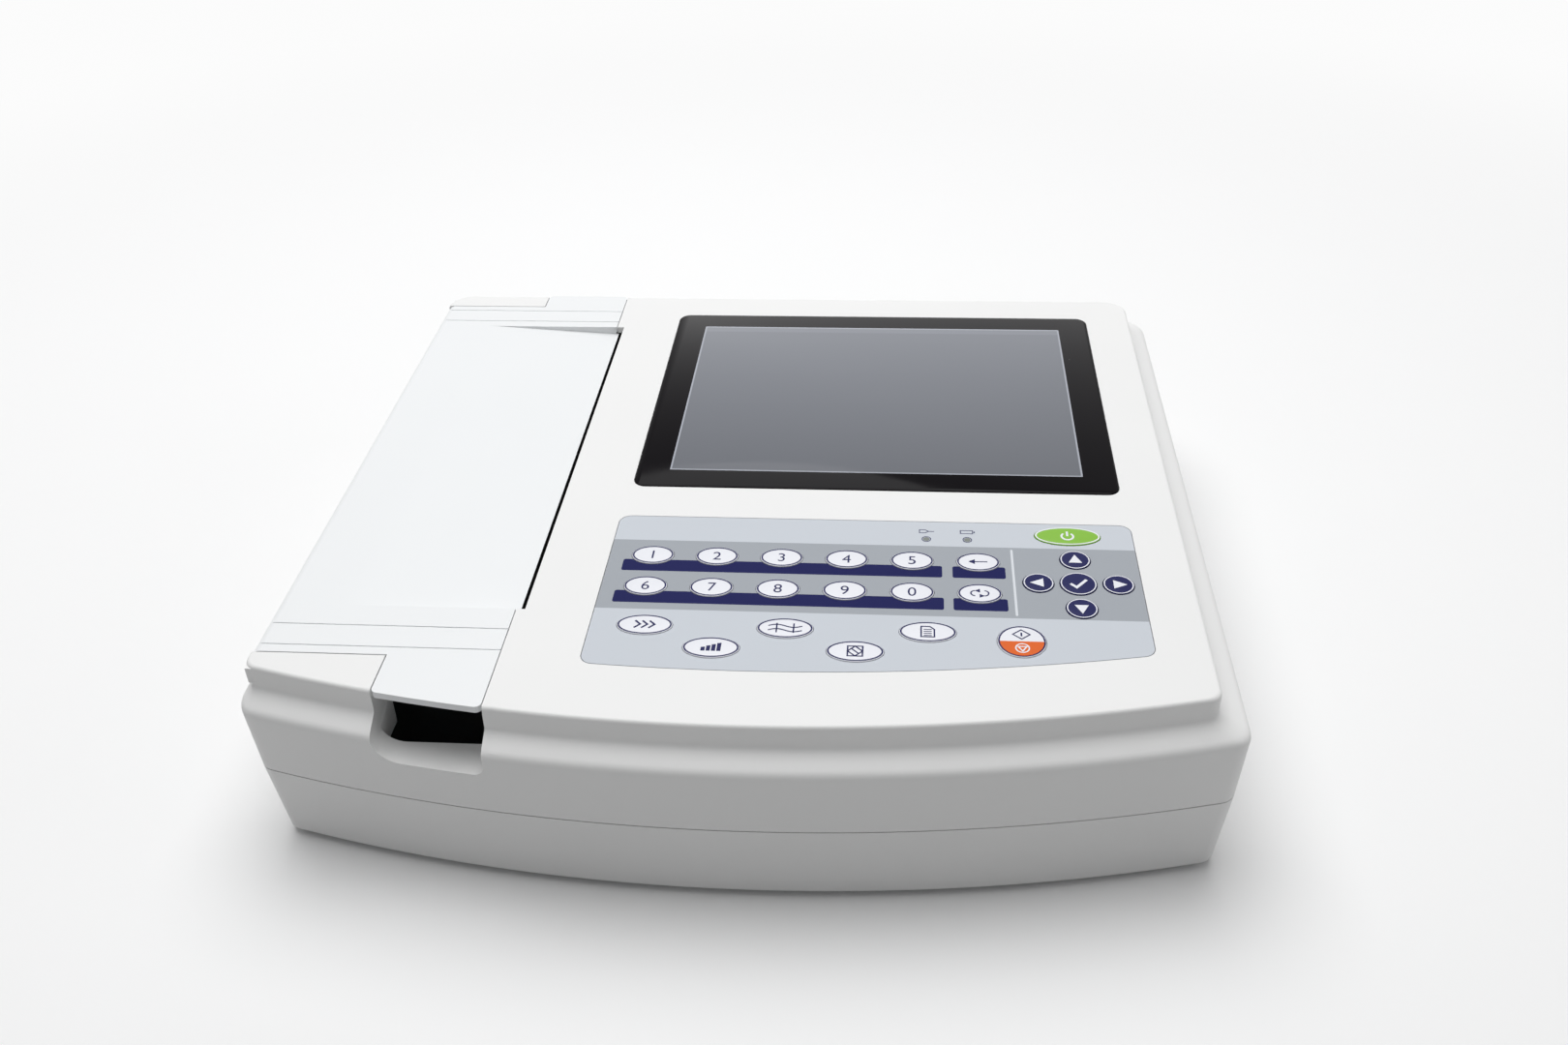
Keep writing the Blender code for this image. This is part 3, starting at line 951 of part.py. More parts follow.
def mains_ports():
    """Appliance inlet with three pins, rocker switch and earthing stud in the back wall."""
    face = BACK - wall_inset(PORT_Z)
    inlet = box("mains_inlet", (INLET_X - INLET_BODY[0] / 2, face - 20, PORT_Z - INLET_BODY[1] / 2),
                (INLET_X + INLET_BODY[0] / 2, face + 1.8, PORT_Z + INLET_BODY[1] / 2))
    inner = face - WALL - 1.8
    half_w, half_h = INLET_FLANGE[0] / 2, INLET_FLANGE[1] / 2
    join(inlet, box("inlet_flange", (INLET_X - half_w, inner - 2, PORT_Z - half_h + 2),
                    (INLET_X + half_w, inner, PORT_Z + half_h)))
    mouth = [(INLET_X - 12.0, PORT_Z - 8.0), (INLET_X + 12.0, PORT_Z - 8.0), (INLET_X + 12.0, PORT_Z + 3.0),
             (INLET_X + 7.0, PORT_Z + 8.0), (INLET_X - 7.0, PORT_Z + 8.0), (INLET_X - 12.0, PORT_Z + 3.0)]
    cut(inlet, prism("inlet_mouth", [mouth], face - 14.0, face + 5, CASE, "Y"))
    for name, x, z in (("live", -7.0, -2.0), ("neutral", 7.0, -2.0), ("earth", 0.0, 2.0)):
        join(inlet, box(f"{name}_pin", (INLET_X + x - 1.0, face - 15.0, PORT_Z + z - 2.0),
                        (INLET_X + x + 1.0, face - 3.0, PORT_Z + z + 2.0)))
    finish(inlet, "plastic_black")
    half_w, half_h = ROCKER_BODY[0] / 2 - 0.1, ROCKER_BODY[1] / 2 - ROCKER_SWING
    side = [(-half_h, -2.2), (-half_h + 0.4, 1.2), (0.0, -0.1), (half_h - 0.4, 0.1), (half_h, -2.2),
            (4.0, -9.0), (-4.0, -9.0)]
    rocker = prism("mains_rocker", [side], -half_w, half_w)
    upright = Matrix(((0, 0, 1, ROCKER_X * MM), (0, 1, 0, face * MM), (1, 0, 0, PORT_Z * MM), (0, 0, 0, 1)))
    rocker.data.transform(upright)
    rocker.data.flip_normals()
    finish(rocker, "plastic_black", (ROCKER_X, face - 5.0, PORT_Z))
    stud = cylinder("ground_stud", STUD_RADIUS, (STUD_X, face - 8, PORT_Z), (STUD_X, face + 1.5, PORT_Z),
                    sides=16)
    join(stud, cylinder("stud_nut", 5.0, (STUD_X, face - WALL - 4.0, PORT_Z),
                        (STUD_X, face - WALL - 1.2, PORT_Z), sides=6))
    finish(stud, "brass")


def main():
    upper_case()
    lower_case()
    feet_and_screws()
    console()
    printer_frame()
    paper()
    platen()
    gear_train()
    print_head()
    printer_lid()
    boards_and_battery()
    side_ports()
    mains_ports()


main()
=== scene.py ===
"""The finished surfaces of a twelve-channel ECG recorder, laid over its engineering frame.

Shapes are written in millimetres and become metres when a mesh is made. Pieces on the sloping top are made in
the deck's own frame: x to the operator's right, v up the slope towards the back, w out of the deck, with the
origin in the middle of the screen. Other pieces are made in the case's frame, which is the object's own.
"""

import json
import math

import bmesh
import bpy
from bpy.props import FloatProperty, FloatVectorProperty, IntProperty, PointerProperty
from mathutils import Matrix, Vector


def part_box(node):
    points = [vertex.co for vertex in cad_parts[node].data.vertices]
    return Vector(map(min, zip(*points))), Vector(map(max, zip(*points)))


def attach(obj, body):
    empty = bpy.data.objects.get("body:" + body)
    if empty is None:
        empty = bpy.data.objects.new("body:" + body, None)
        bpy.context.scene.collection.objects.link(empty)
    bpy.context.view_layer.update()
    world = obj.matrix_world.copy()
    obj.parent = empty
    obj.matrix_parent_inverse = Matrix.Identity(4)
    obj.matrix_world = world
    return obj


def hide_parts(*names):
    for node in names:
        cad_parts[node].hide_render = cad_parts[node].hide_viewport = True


bl_info = {
    "name": "ECG recorder",
    "version": (1, 0, 0),
    "blender": (4, 5, 0),
    "location": "View3D > Sidebar > Recorder",
    "description": "Makes the case, console, printer and sockets of a desktop ECG recorder",
    "category": "Add Mesh",
}

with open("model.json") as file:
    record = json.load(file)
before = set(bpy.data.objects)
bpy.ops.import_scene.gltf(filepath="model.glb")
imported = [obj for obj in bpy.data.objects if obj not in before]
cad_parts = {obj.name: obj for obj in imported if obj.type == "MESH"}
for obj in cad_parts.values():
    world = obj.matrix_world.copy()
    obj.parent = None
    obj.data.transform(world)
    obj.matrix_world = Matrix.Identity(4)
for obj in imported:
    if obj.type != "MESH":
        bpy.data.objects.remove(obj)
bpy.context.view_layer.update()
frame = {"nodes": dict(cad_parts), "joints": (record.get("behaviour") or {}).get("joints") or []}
MM = 0.001


def node_box(node):
    """A node's lowest and highest corners in millimetres."""
    low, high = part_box(node)
    return Vector(low) / MM, Vector(high) / MM


JOINTS = {joint["name"]: joint for joint in frame["joints"]}
DECK_TILT = math.atan2(-JOINTS["lid_hinge"]["axis"][2], -JOINTS["lid_hinge"]["axis"][1])
GLASS_LOW, GLASS_HIGH = node_box("touch_glass")
GLASS_MIDDLE_W = -0.5
DECK_NORMAL = Vector((0, -math.sin(DECK_TILT), math.cos(DECK_TILT)))
DECK_ORIGIN = (GLASS_LOW + GLASS_HIGH) / 2 - DECK_NORMAL * GLASS_MIDDLE_W
CONSOLE_X = DECK_ORIGIN.x
DECK_ORIGIN.x = 0.0
DECK = Matrix.Translation(DECK_ORIGIN * MM) @ Matrix.Rotation(DECK_TILT, 4, "X")
CASE = Matrix.Identity(4)

UPPER_LOW, UPPER_HIGH = node_box("upper_case")
LOWER_LOW, LOWER_HIGH = node_box("lower_case")
LEFT, RIGHT, FRONT, BACK = UPPER_LOW.x, UPPER_HIGH.x, UPPER_LOW.y, UPPER_HIGH.y
PARTING_Z = UPPER_LOW.z
BOTTOM_Z = LOWER_LOW.z - 1.5
STEP_INSET = (2.6, 10.8, 8.2, 8.4)
NO_INSET = (0.0, 0.0, 0.0, 0.0)
PARTING_INSET = 1.5
BOTTOM_INSET = 4.5
STEP_FOOT_DROP = 16.4
WALL = 2.8
DECK_SKIN = 3.0
LID_GAP = 0.5
SEAM_X = LEFT + 91.5
TAB_LEFT = SEAM_X - 40.2
RECESS_BACK_V = 61.9
RECESS_FRONT_V = RECESS_BACK_V - 217.7
LID_BACK_V = 82.5
LID_FRONT_V = RECESS_FRONT_V - 27.0
LID_THICKNESS = 2.6
HINGE_RADIUS = 3.4
HINGE_X = JOINTS["lid_hinge"]["pos_m"][0] / MM
HINGE_W = -HINGE_RADIUS
SLIT_RIGHT = SEAM_X + 3.2
LIP_X = SEAM_X + 0.3
PLATEN_X = JOINTS["platen_spin"]["pos_m"][0] / MM
PLATEN_W = -13.5
PAPER_V = (RECESS_FRONT_V + RECESS_BACK_V) / 2
LUG_INNER = 108.3
LUG_OUTER = 112.3
STRIP_DEPTH = 2.7
STRIP_TOP = LID_THICKNESS + 0.3
STRIP_REACH = 4.5
STREAK_SCALE = 900.0
GLASS_HALF_HEIGHT = 74.9
PORT_Z = JOINTS["rocker_tilt"]["pos_m"][2] / MM
KEY_TALL = 3.35
KEY_FLANGE = 0.5
KEY_TOP = 0.35
OVERLAY_HALF_WIDTH = 98.5
OVERLAY_TOP_V = -96.0
OVERLAY_FRONT_V = -186.0
OVERLAY_FRONT_RADIUS = 740.0
OVERLAY_CORNER = 4.5
BAND = (CONSOLE_X - OVERLAY_HALF_WIDTH - 1, CONSOLE_X + OVERLAY_HALF_WIDTH + 1, -153.9, -111.8)
DIVIDER = (CONSOLE_X + 52.2, CONSOLE_X + 53.1, -152.6, -113.0)
BARS = (
    (CONSOLE_X - 92.8, CONSOLE_X + 26.6, -131.2, -124.2),
    (CONSOLE_X - 93.0, CONSOLE_X + 27.0, -150.2, -143.2),
    (CONSOLE_X + 30.4, CONSOLE_X + 49.8, -131.2, -124.2),
    (CONSOLE_X + 30.4, CONSOLE_X + 49.8, -150.2, -143.2),
)


def deck_z(y, drop=0.0):
    """Height of the deck at that y in the case's frame, less a drop square to the deck."""
    return DECK_ORIGIN.z + (y - DECK_ORIGIN.y) * math.tan(DECK_TILT) - drop / math.cos(DECK_TILT)


def deck_v(y):
    return (y - DECK_ORIGIN.y) / math.cos(DECK_TILT)


def on_deck(point):
    """A point of the case's frame in the deck's frame, in millimetres."""
    return DECK.inverted() @ (Vector(point) * MM) / MM


# ---- settings --------------------------------------------------------------------------------------------
def colour(name, description, default):
    return FloatVectorProperty(name=name, description=description, subtype="COLOR", size=3, min=0, max=1,
                               default=default)


def length(name, description, default):
    """A length in millimetres."""
    return FloatProperty(name=name, description=description + ", in millimetres", min=0, default=default)


class CaseSettings(bpy.types.PropertyGroup):
    shell: colour("Shell", "Colour of the two case shells", (0.85, 0.85, 0.845))
    lid: colour("Lid", "Colour of the printer lid", (0.85, 0.865, 0.875))
    front_radius: length("Front radius", "Radius of the bowed front edge", 655.0)
    front_corner: length("Front corner", "Plan radius of the two front corners", 8.0)
    back_corner: length("Back corner", "Plan radius of the two back corners", 14.0)
    edge_round: length("Edge rounding", "Rounding of every cut edge of the shells", 0.45)
    lid_round: length("Lid rounding", "Rounding of the lid's edges", 0.6)
    line_width: length("Line width", "Width of the fine lines across the lid", 0.55)
    front_steps: IntProperty(name="Front steps", description="Segments along the bowed front", min=8,
                             default=61)
    corner_steps: IntProperty(name="Corner steps", description="Segments in each plan corner", min=3,
                              default=9)


class ConsoleSettings(bpy.types.PropertyGroup):
    overlay: colour("Overlay", "Colour of the keypad's film", (0.615, 0.650, 0.700))
    band: colour("Band", "Colour of the darker band behind the number keys", (0.385, 0.410, 0.445))
    divider: colour("Divider", "Colour of the line beside the arrow keys", (0.72, 0.75, 0.79))
    navy: colour("Navy", "Colour of the dark ink", (0.005, 0.007, 0.080))
    key_white: colour("Key white", "Colour of the pale keys", (0.82, 0.83, 0.88))
    green: colour("Green", "Colour of the power key", (0.235, 0.50, 0.045))
    orange: colour("Orange", "Colour of the stop half of the round key", (0.74, 0.125, 0.010))
    glass: colour("Glass", "Colour of the screen's border", (0.0025, 0.0015, 0.003))
    screen: colour("Screen", "Colour of the dark screen", (0.205, 0.215, 0.240))
    window_width: length("Window width", "Width of the visible screen", 167.7)
    window_height: length("Window height", "Height of the visible screen", 125.8)
    glass_corner: length("Glass corner", "Radius of the glass's corners", 5.0)


class StageSettings(bpy.types.PropertyGroup):
    camera_place: FloatVectorProperty(name="Camera place", description="Where the camera stands",
                                      subtype="TRANSLATION",
                                      unit="LENGTH", default=(0.0540, -0.5083, 0.3881))
    camera_turn: FloatVectorProperty(name="Camera turn", description="The camera's rotation", subtype="EULER",
                                     default=(math.radians(56.745), math.radians(1.418), math.radians(4.339)))
    lens: FloatProperty(name="Lens", description="Focal length on a 36 mm sensor", unit="CAMERA",
                        default=33.295)
    floor: colour("Floor", "Colour of the floor", (0.97, 0.97, 0.97))
    shadow_reach: FloatProperty(name="Shadow reach",
                                description="Distance at which the floor starts to turn white",
                                subtype="DISTANCE", unit="LENGTH", min=0, default=0.42)
    bounce: FloatProperty(name="Bounce",
                          description="Share of the floor's colour that it throws back as light",
                          subtype="FACTOR", min=0, max=1, default=0.64)
    ambient: FloatProperty(name="Ambient", description="Strength of the light from all round", min=0,
                           default=0.24)
    key_watts: FloatProperty(name="Key light", description="Power of the large lamp overhead", unit="POWER",
                             default=30.0)
    side_watts: FloatProperty(name="Side light", description="Power of the lamp on the right", unit="POWER",
                              default=1.5)


# ---- mesh tools ------------------------------------------------------------------------------------------
def arc(centre, radius, first, last, steps):
    """Points of an arc, both ends included. Angles are in radians."""
    return [(centre[0] + radius * math.cos(first + (last - first) * i / steps),
             centre[1] + radius * math.sin(first + (last - first) * i / steps)) for i in range(steps + 1)]


def rounded(left, right, low, high, radius, steps=6):
    return (arc((right - radius, low + radius), radius, -math.pi / 2, 0, steps)
            + arc((right - radius, high - radius), radius, 0, math.pi / 2, steps)
            + arc((left + radius, high - radius), radius, math.pi / 2, math.pi, steps)
            + arc((left + radius, low + radius), radius, math.pi, 3 * math.pi / 2, steps))


def oval(x, v, width, height, grow=0.0, sides=48):
    return [(x + (width / 2 + grow) * math.cos(2 * math.pi * i / sides),
             v + (height / 2 + grow) * math.sin(2 * math.pi * i / sides)) for i in range(sides)]


def mesh_from(name, bm):
    bmesh.ops.scale(bm, vec=(MM, MM, MM), verts=bm.verts)
    bmesh.ops.recalc_face_normals(bm, faces=bm.faces)
    mesh = bpy.data.meshes.new(name)
    bm.to_mesh(mesh)
    bm.free()
    mesh.shade_smooth()
    mesh.set_sharp_from_angle(angle=math.radians(32))
    return mesh


def solid(name, mesh, matrix=CASE):
    obj = bpy.data.objects.new(name, mesh)
    bpy.context.scene.collection.objects.link(obj)
    obj.matrix_world = matrix
    return obj


def box(name, low, high, matrix=CASE):
    low, high = Vector(low), Vector(high)
    bm = bmesh.new()
    bmesh.ops.create_cube(bm, size=1)
    bmesh.ops.scale(bm, vec=high - low, verts=bm.verts)
    bmesh.ops.translate(bm, vec=(low + high) / 2, verts=bm.verts)
    return solid(name, mesh_from(name, bm), matrix)


def cylinder(name, radius, start, end, matrix=CASE, sides=48, end_radius=None):
    start, end = Vector(start), Vector(end)
    bm = bmesh.new()
    bmesh.ops.create_cone(bm, cap_ends=True, segments=sides, radius1=radius,
                          radius2=radius if end_radius is None else end_radius, depth=(end - start).length)
    bmesh.ops.rotate(bm, matrix=(end - start).to_track_quat("Z", "Y").to_matrix(), verts=bm.verts)
    bmesh.ops.translate(bm, vec=(start + end) / 2, verts=bm.verts)
    return solid(name, mesh_from(name, bm), matrix)


def prism(name, outlines, low, high, matrix=CASE, along="Z"):
    """Flat outlines, the first the outside and the rest holes, drawn out from low to high along Z, Y or X.
    Along Y an outline's numbers are x and height, and along X they are y and height."""
    curve = bpy.data.curves.new(name, "CURVE")
    curve.dimensions = "2D"
    curve.fill_mode = "BOTH"
    curve.extrude = (high - low) / 2 * MM
    for outline in outlines:
        spline = curve.splines.new("POLY")
        spline.points.add(len(outline) - 1)
        for point, (a, b) in zip(spline.points, outline):
            point.co = (a * MM, b * MM, 0, 1)
        spline.use_cyclic_u = True
    flat = bpy.data.objects.new(name, curve)
    bpy.context.scene.collection.objects.link(flat)
    bpy.context.view_layer.update()
    mesh = bpy.data.meshes.new_from_object(flat.evaluated_get(bpy.context.evaluated_depsgraph_get()))
    mesh.materials.clear()
    bpy.data.objects.remove(flat)
    bm = bmesh.new()
    bm.from_mesh(mesh)
    bpy.data.meshes.remove(mesh)
    bmesh.ops.remove_doubles(bm, verts=bm.verts, dist=1e-6)
    middle = (low + high) / 2 * MM
    if along == "Z":
        turn, shift = Matrix.Identity(3), (0, 0, middle)
    elif along == "Y":
        turn, shift = Matrix.Rotation(math.pi / 2, 3, "X"), (0, middle, 0)
    else:
        turn, shift = Matrix(((0, 0, 1), (1, 0, 0), (0, 1, 0))), (middle, 0, 0)
    bmesh.ops.rotate(bm, matrix=turn, verts=bm.verts)
    bmesh.ops.translate(bm, vec=shift, verts=bm.verts)
    bmesh.ops.scale(bm, vec=(1 / MM, 1 / MM, 1 / MM), verts=bm.verts)
    return solid(name, mesh_from(name, bm), matrix)


def loft(name, rings, matrix=CASE):
    """A closed solid through rings of equal count, each a list of points."""
    bm = bmesh.new()
    rows = [[bm.verts.new(point) for point in ring] for ring in rings]
    for lower, upper in zip(rows, rows[1:]):
        for i in range(len(lower)):
            j = (i + 1) % len(lower)
            bm.faces.new((lower[i], lower[j], upper[j], upper[i]))
    bm.faces.new(list(reversed(rows[0])))
    bm.faces.new(rows[-1])
    return solid(name, mesh_from(name, bm), matrix)


def carve(obj, joined=(), cut=()):
    """Joins and cuts other solids into obj for good, and removes them."""
    steps = [(other, "UNION") for other in joined] + [(other, "DIFFERENCE") for other in cut]
    for other, operation in steps:
        modifier = obj.modifiers.new(other.name, "BOOLEAN")
        modifier.object = other
        modifier.operation = operation
    bpy.context.view_layer.update()
    mesh = bpy.data.meshes.new_from_object(obj.evaluated_get(bpy.context.evaluated_depsgraph_get()))
    obj.modifiers.clear()
    obj.data = mesh
    for other, _ in steps:
        bpy.data.objects.remove(other)
    return obj


def soften(obj, width, segments=3):
    """Rounds every cut edge a little and keeps the flats flat.

    Concave faces are split first, so that each stays in its own outline.
    """
    bm = bmesh.new()
    bm.from_mesh(obj.data)
    bmesh.ops.connect_verts_concave(bm, faces=[face for face in bm.faces if len(face.verts) > 4])
    bm.to_mesh(obj.data)
    bm.free()
    obj.data.shade_smooth()
    bevel = obj.modifiers.new("rounded edges", "BEVEL")
    bevel.width = width * MM
    bevel.segments = segments
    bevel.limit_method = "ANGLE"
    bevel.angle_limit = math.radians(38)
    bevel.use_clamp_overlap = True
    bevel.harden_normals = True
    flats = obj.modifiers.new("flat faces", "WEIGHTED_NORMAL")
    flats.keep_sharp = False
    flats.weight = 90
    return obj


def fit(obj, body, materials, slot, *nodes):
    """Gives a piece its finish, and makes it ride on a body in place of these nodes."""
    for material in materials if isinstance(materials, (list, tuple)) else [materials]:
        obj.data.materials.append(material)
    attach(obj, body)
    if nodes:
        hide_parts(*nodes)
    return obj


def paint(node, material):
    """Gives a node of the frame its finish."""
    obj = frame["nodes"][node]
    obj.data.materials.clear()
    obj.data.materials.append(material)


# ---- shared effects --------------------------------------------------------------------------------------
def new_group(name, inputs, outputs):
    """An empty node group with named sockets: name to (kind, default)."""
    group = bpy.data.node_groups.new(name, "ShaderNodeTree")
    for socket, (kind, default) in inputs.items():
        made = group.interface.new_socket(socket, in_out="INPUT", socket_type=kind)
        if default is not None:
            made.default_value = default
    for socket, kind in outputs.items():
        group.interface.new_socket(socket, in_out="OUTPUT", socket_type=kind)
    return group, group.nodes.new("NodeGroupInput"), group.nodes.new("NodeGroupOutput")


def math_node(tree, operation, first, second=None, third=None):
    node = tree.nodes.new("ShaderNodeMath")
    node.operation = operation
    for socket, value in zip(node.inputs, (first, second, third)):
        if isinstance(value, (int, float)):
            socket.default_value = value
        elif value is not None:
            tree.links.new(value, socket)
    return node.outputs[0]


def noise_node(tree, vector, scale, detail=3.0, roughness=0.5):
    node = tree.nodes.new("ShaderNodeTexNoise")
    node.inputs["Detail"].default_value = detail
    node.inputs["Roughness"].default_value = roughness
    tree.links.new(vector, node.inputs["Vector"])
    if isinstance(scale, (int, float)):
        node.inputs["Scale"].default_value = scale
    else:
        tree.links.new(scale, node.inputs["Scale"])
    return node.outputs["Fac"]


def moulded_grain():
    """Height of a spark-eroded mould's grain: fine pits on a slower wave."""
    group, source, sink = new_group("Moulded grain", {"Vector": ("NodeSocketVector", None),
                                                      "Grain scale": ("NodeSocketFloat", 2600.0)},
                                    {"Height": "NodeSocketFloat"})
    fine = noise_node(group, source.outputs["Vector"], source.outputs["Grain scale"], 2.0, 0.6)
    slow = noise_node(group, source.outputs["Vector"],
                      math_node(group, "MULTIPLY", source.outputs["Grain scale"],
                                                                 0.16), 2.0)
    waves = math_node(group, "MULTIPLY", slow, 0.35)
    group.links.new(math_node(group, "ADD", fine, waves), sink.inputs["Height"])
    return group


def handled_surface():
    """Slow, faint changes of colour, and the roughness of wiped and handled plastic."""
    group, source, sink = new_group(
        "Handled surface",
        {"Vector": ("NodeSocketVector", None), "Color": ("NodeSocketColor", (0.8, 0.8, 0.8, 1)),
         "Mottle": ("NodeSocketFloat", 0.03), "Roughness": ("NodeSocketFloat", 0.45),
         "Smudge": ("NodeSocketFloat", 0.08)},
        {"Color": "NodeSocketColor", "Roughness": "NodeSocketFloat"})
    cloud = noise_node(group, source.outputs["Vector"], 14.0, 4.0, 0.55)
    swing = math_node(group, "MULTIPLY", math_node(group, "SUBTRACT", cloud, 0.5), source.outputs["Mottle"])
    shade = group.nodes.new("ShaderNodeHueSaturation")
    group.links.new(source.outputs["Color"], shade.inputs["Color"])
    group.links.new(math_node(group, "ADD", swing, 1.0), shade.inputs["Value"])
    group.links.new(shade.outputs["Color"], sink.inputs["Color"])
    wipes = noise_node(group, source.outputs["Vector"], 38.0, 5.0, 0.65)
    wiped = math_node(group, "MULTIPLY", math_node(group, "SUBTRACT", wipes, 0.5), source.outputs["Smudge"])
    group.links.new(math_node(group, "ADD", wiped, source.outputs["Roughness"]), sink.inputs["Roughness"])
    return group


def printed_panel():
    """A mask that is 1 inside a rounded rectangle of the deck, in metres."""
    group, source, sink = new_group(
        "Printed panel",
        {"Vector": ("NodeSocketVector", None), "Centre X": ("NodeSocketFloat", 0.0),
         "Centre Y": ("NodeSocketFloat", 0.0), "Half width": ("NodeSocketFloat", 0.01),
         "Half height": ("NodeSocketFloat", 0.01), "Corner": ("NodeSocketFloat", 0.0005)},
        {"Mask": "NodeSocketFloat"})
    place = group.nodes.new("ShaderNodeSeparateXYZ")
    group.links.new(source.outputs["Vector"], place.inputs["Vector"])
    beyond = []
    for axis, centre, half in (("X", "Centre X", "Half width"), ("Y", "Centre Y", "Half height")):
        away = math_node(group, "ABSOLUTE", math_node(group, "SUBTRACT", place.outputs[axis],
                                                      source.outputs[centre]))
        inner = math_node(group, "SUBTRACT", source.outputs[half], source.outputs["Corner"])
        over = math_node(group, "MAXIMUM", math_node(group, "SUBTRACT", away, inner), 0.0)
        beyond.append(math_node(group, "MULTIPLY", over, over))
    distance = math_node(group, "SQRT", math_node(group, "ADD", beyond[0], beyond[1]))
    inside = math_node(group, "LESS_THAN", distance, source.outputs["Corner"])
    group.links.new(inside, sink.inputs["Mask"])
    return group


# ---- finishes --------------------------------------------------------------------------------------------
def blank_material(name):
    material = bpy.data.materials.new(name)
    material.use_nodes = True
    tree = material.node_tree
    shader = tree.nodes["Principled BSDF"]
    place = tree.nodes.new("ShaderNodeTexCoord").outputs["Object"]
    return material, tree, shader, place


def group_node(tree, name, **values):
    """A shared effect placed in a material. Values are numbers, colours or links, by socket name."""
    node = tree.nodes.new("ShaderNodeGroup")
    node.node_tree = bpy.data.node_groups[name]
    for socket, value in values.items():
        target = node.inputs[socket.replace("_", " ")]
        if isinstance(value, bpy.types.NodeSocket):
            tree.links.new(value, target)
        else:
            target.default_value = value
    return node


def bump(tree, shader, height, strength, distance):
    node = tree.nodes.new("ShaderNodeBump")
    node.inputs["Strength"].default_value = strength
    node.inputs["Distance"].default_value = distance
    tree.links.new(height, node.inputs["Height"])
    tree.links.new(node.outputs["Normal"], shader.inputs["Normal"])


def plastic(name, base, roughness, grain=2600.0, depth=0.25, mottle=0.03, smudge=0.08, specular=0.5):
    """Moulded plastic or film: faint mottle, handled roughness and a mould's grain."""
    material, tree, shader, place = blank_material(name)
    surface = group_node(tree, "Handled surface", Vector=place, Color=(*base, 1), Mottle=mottle,
                         Roughness=roughness, Smudge=smudge)
    tree.links.new(surface.outputs["Color"], shader.inputs["Base Color"])
    tree.links.new(surface.outputs["Roughness"], shader.inputs["Roughness"])
    shader.inputs["Specular IOR Level"].default_value = specular
    grain_node = group_node(tree, "Moulded grain", Vector=place, Grain_scale=grain)
    bump(tree, shader, grain_node.outputs["Height"], depth, 0.00004)
    return material


def metal(name, base, roughness, along="Y"):
    """Drawn or plated metal, with fine streaks along one axis."""
    material, tree, shader, place = blank_material(name)
    stretch = tree.nodes.new("ShaderNodeMapping")
    squeeze = {"X": (0.03, 1, 1), "Y": (1, 0.03, 1), "Z": (1, 1, 0.03)}[along]
    stretch.inputs["Scale"].default_value = squeeze
    tree.links.new(place, stretch.inputs["Vector"])
    streaks = noise_node(tree, stretch.outputs["Vector"], STREAK_SCALE, 3.0, 0.6)
    surface = group_node(tree, "Handled surface", Vector=place, Color=(*base, 1), Mottle=0.10,
                         Roughness=roughness, Smudge=0.12)
    tree.links.new(surface.outputs["Color"], shader.inputs["Base Color"])
    rough = math_node(tree, "ADD", surface.outputs["Roughness"], math_node(tree, "MULTIPLY", streaks, 0.12))
    tree.links.new(rough, shader.inputs["Roughness"])
    shader.inputs["Metallic"].default_value = 1.0
    bump(tree, shader, streaks, 0.12, 0.00003)
    return material


def mix_colour(tree, mask, under, over):
    node = tree.nodes.new("ShaderNodeMix")
    node.data_type = "RGBA"
    tree.links.new(mask, node.inputs["Factor"])
    for socket, value in ((node.inputs[6], under), (node.inputs[7], over)):
        if isinstance(value, bpy.types.NodeSocket):
            tree.links.new(value, socket)
        else:
            socket.default_value = (*value, 1)
    return node.outputs[2]


def panel_mask(tree, place, left, right, low, high, corner=0.5):
    """The mask of a rounded rectangle, given in millimetres of the deck."""
    node = group_node(tree, "Printed panel", Vector=place, Centre_X=(left + right) / 2 * MM,
                      Centre_Y=(low + high) / 2 * MM, Half_width=(right - left) / 2 * MM,
                      Half_height=(high - low) / 2 * MM, Corner=corner * MM)
    return node.outputs["Mask"]


def overlay_film(settings):
    """The keypad's printed film: grey, with a darker band, a pale divider and four dark bars."""
    material, tree, shader, place = blank_material("keypad film")
    ink = mix_colour(tree, panel_mask(tree, place, *BAND), settings.overlay, settings.band)
    ink = mix_colour(tree, panel_mask(tree, place, *DIVIDER), ink, settings.divider)
    for bar in BARS:
        ink = mix_colour(tree, panel_mask(tree, place, *bar, 0.9), ink, settings.navy)
    surface = group_node(tree, "Handled surface", Vector=place, Mottle=0.03, Roughness=0.42, Smudge=0.10)
    tree.links.new(ink, surface.inputs["Color"])
    tree.links.new(surface.outputs["Color"], shader.inputs["Base Color"])
    tree.links.new(surface.outputs["Roughness"], shader.inputs["Roughness"])
    shader.inputs["Specular IOR Level"].default_value = 0.08
    grain = group_node(tree, "Moulded grain", Vector=place, Grain_scale=3800.0)
    bump(tree, shader, grain.outputs["Height"], 0.15, 0.00003)
    return material


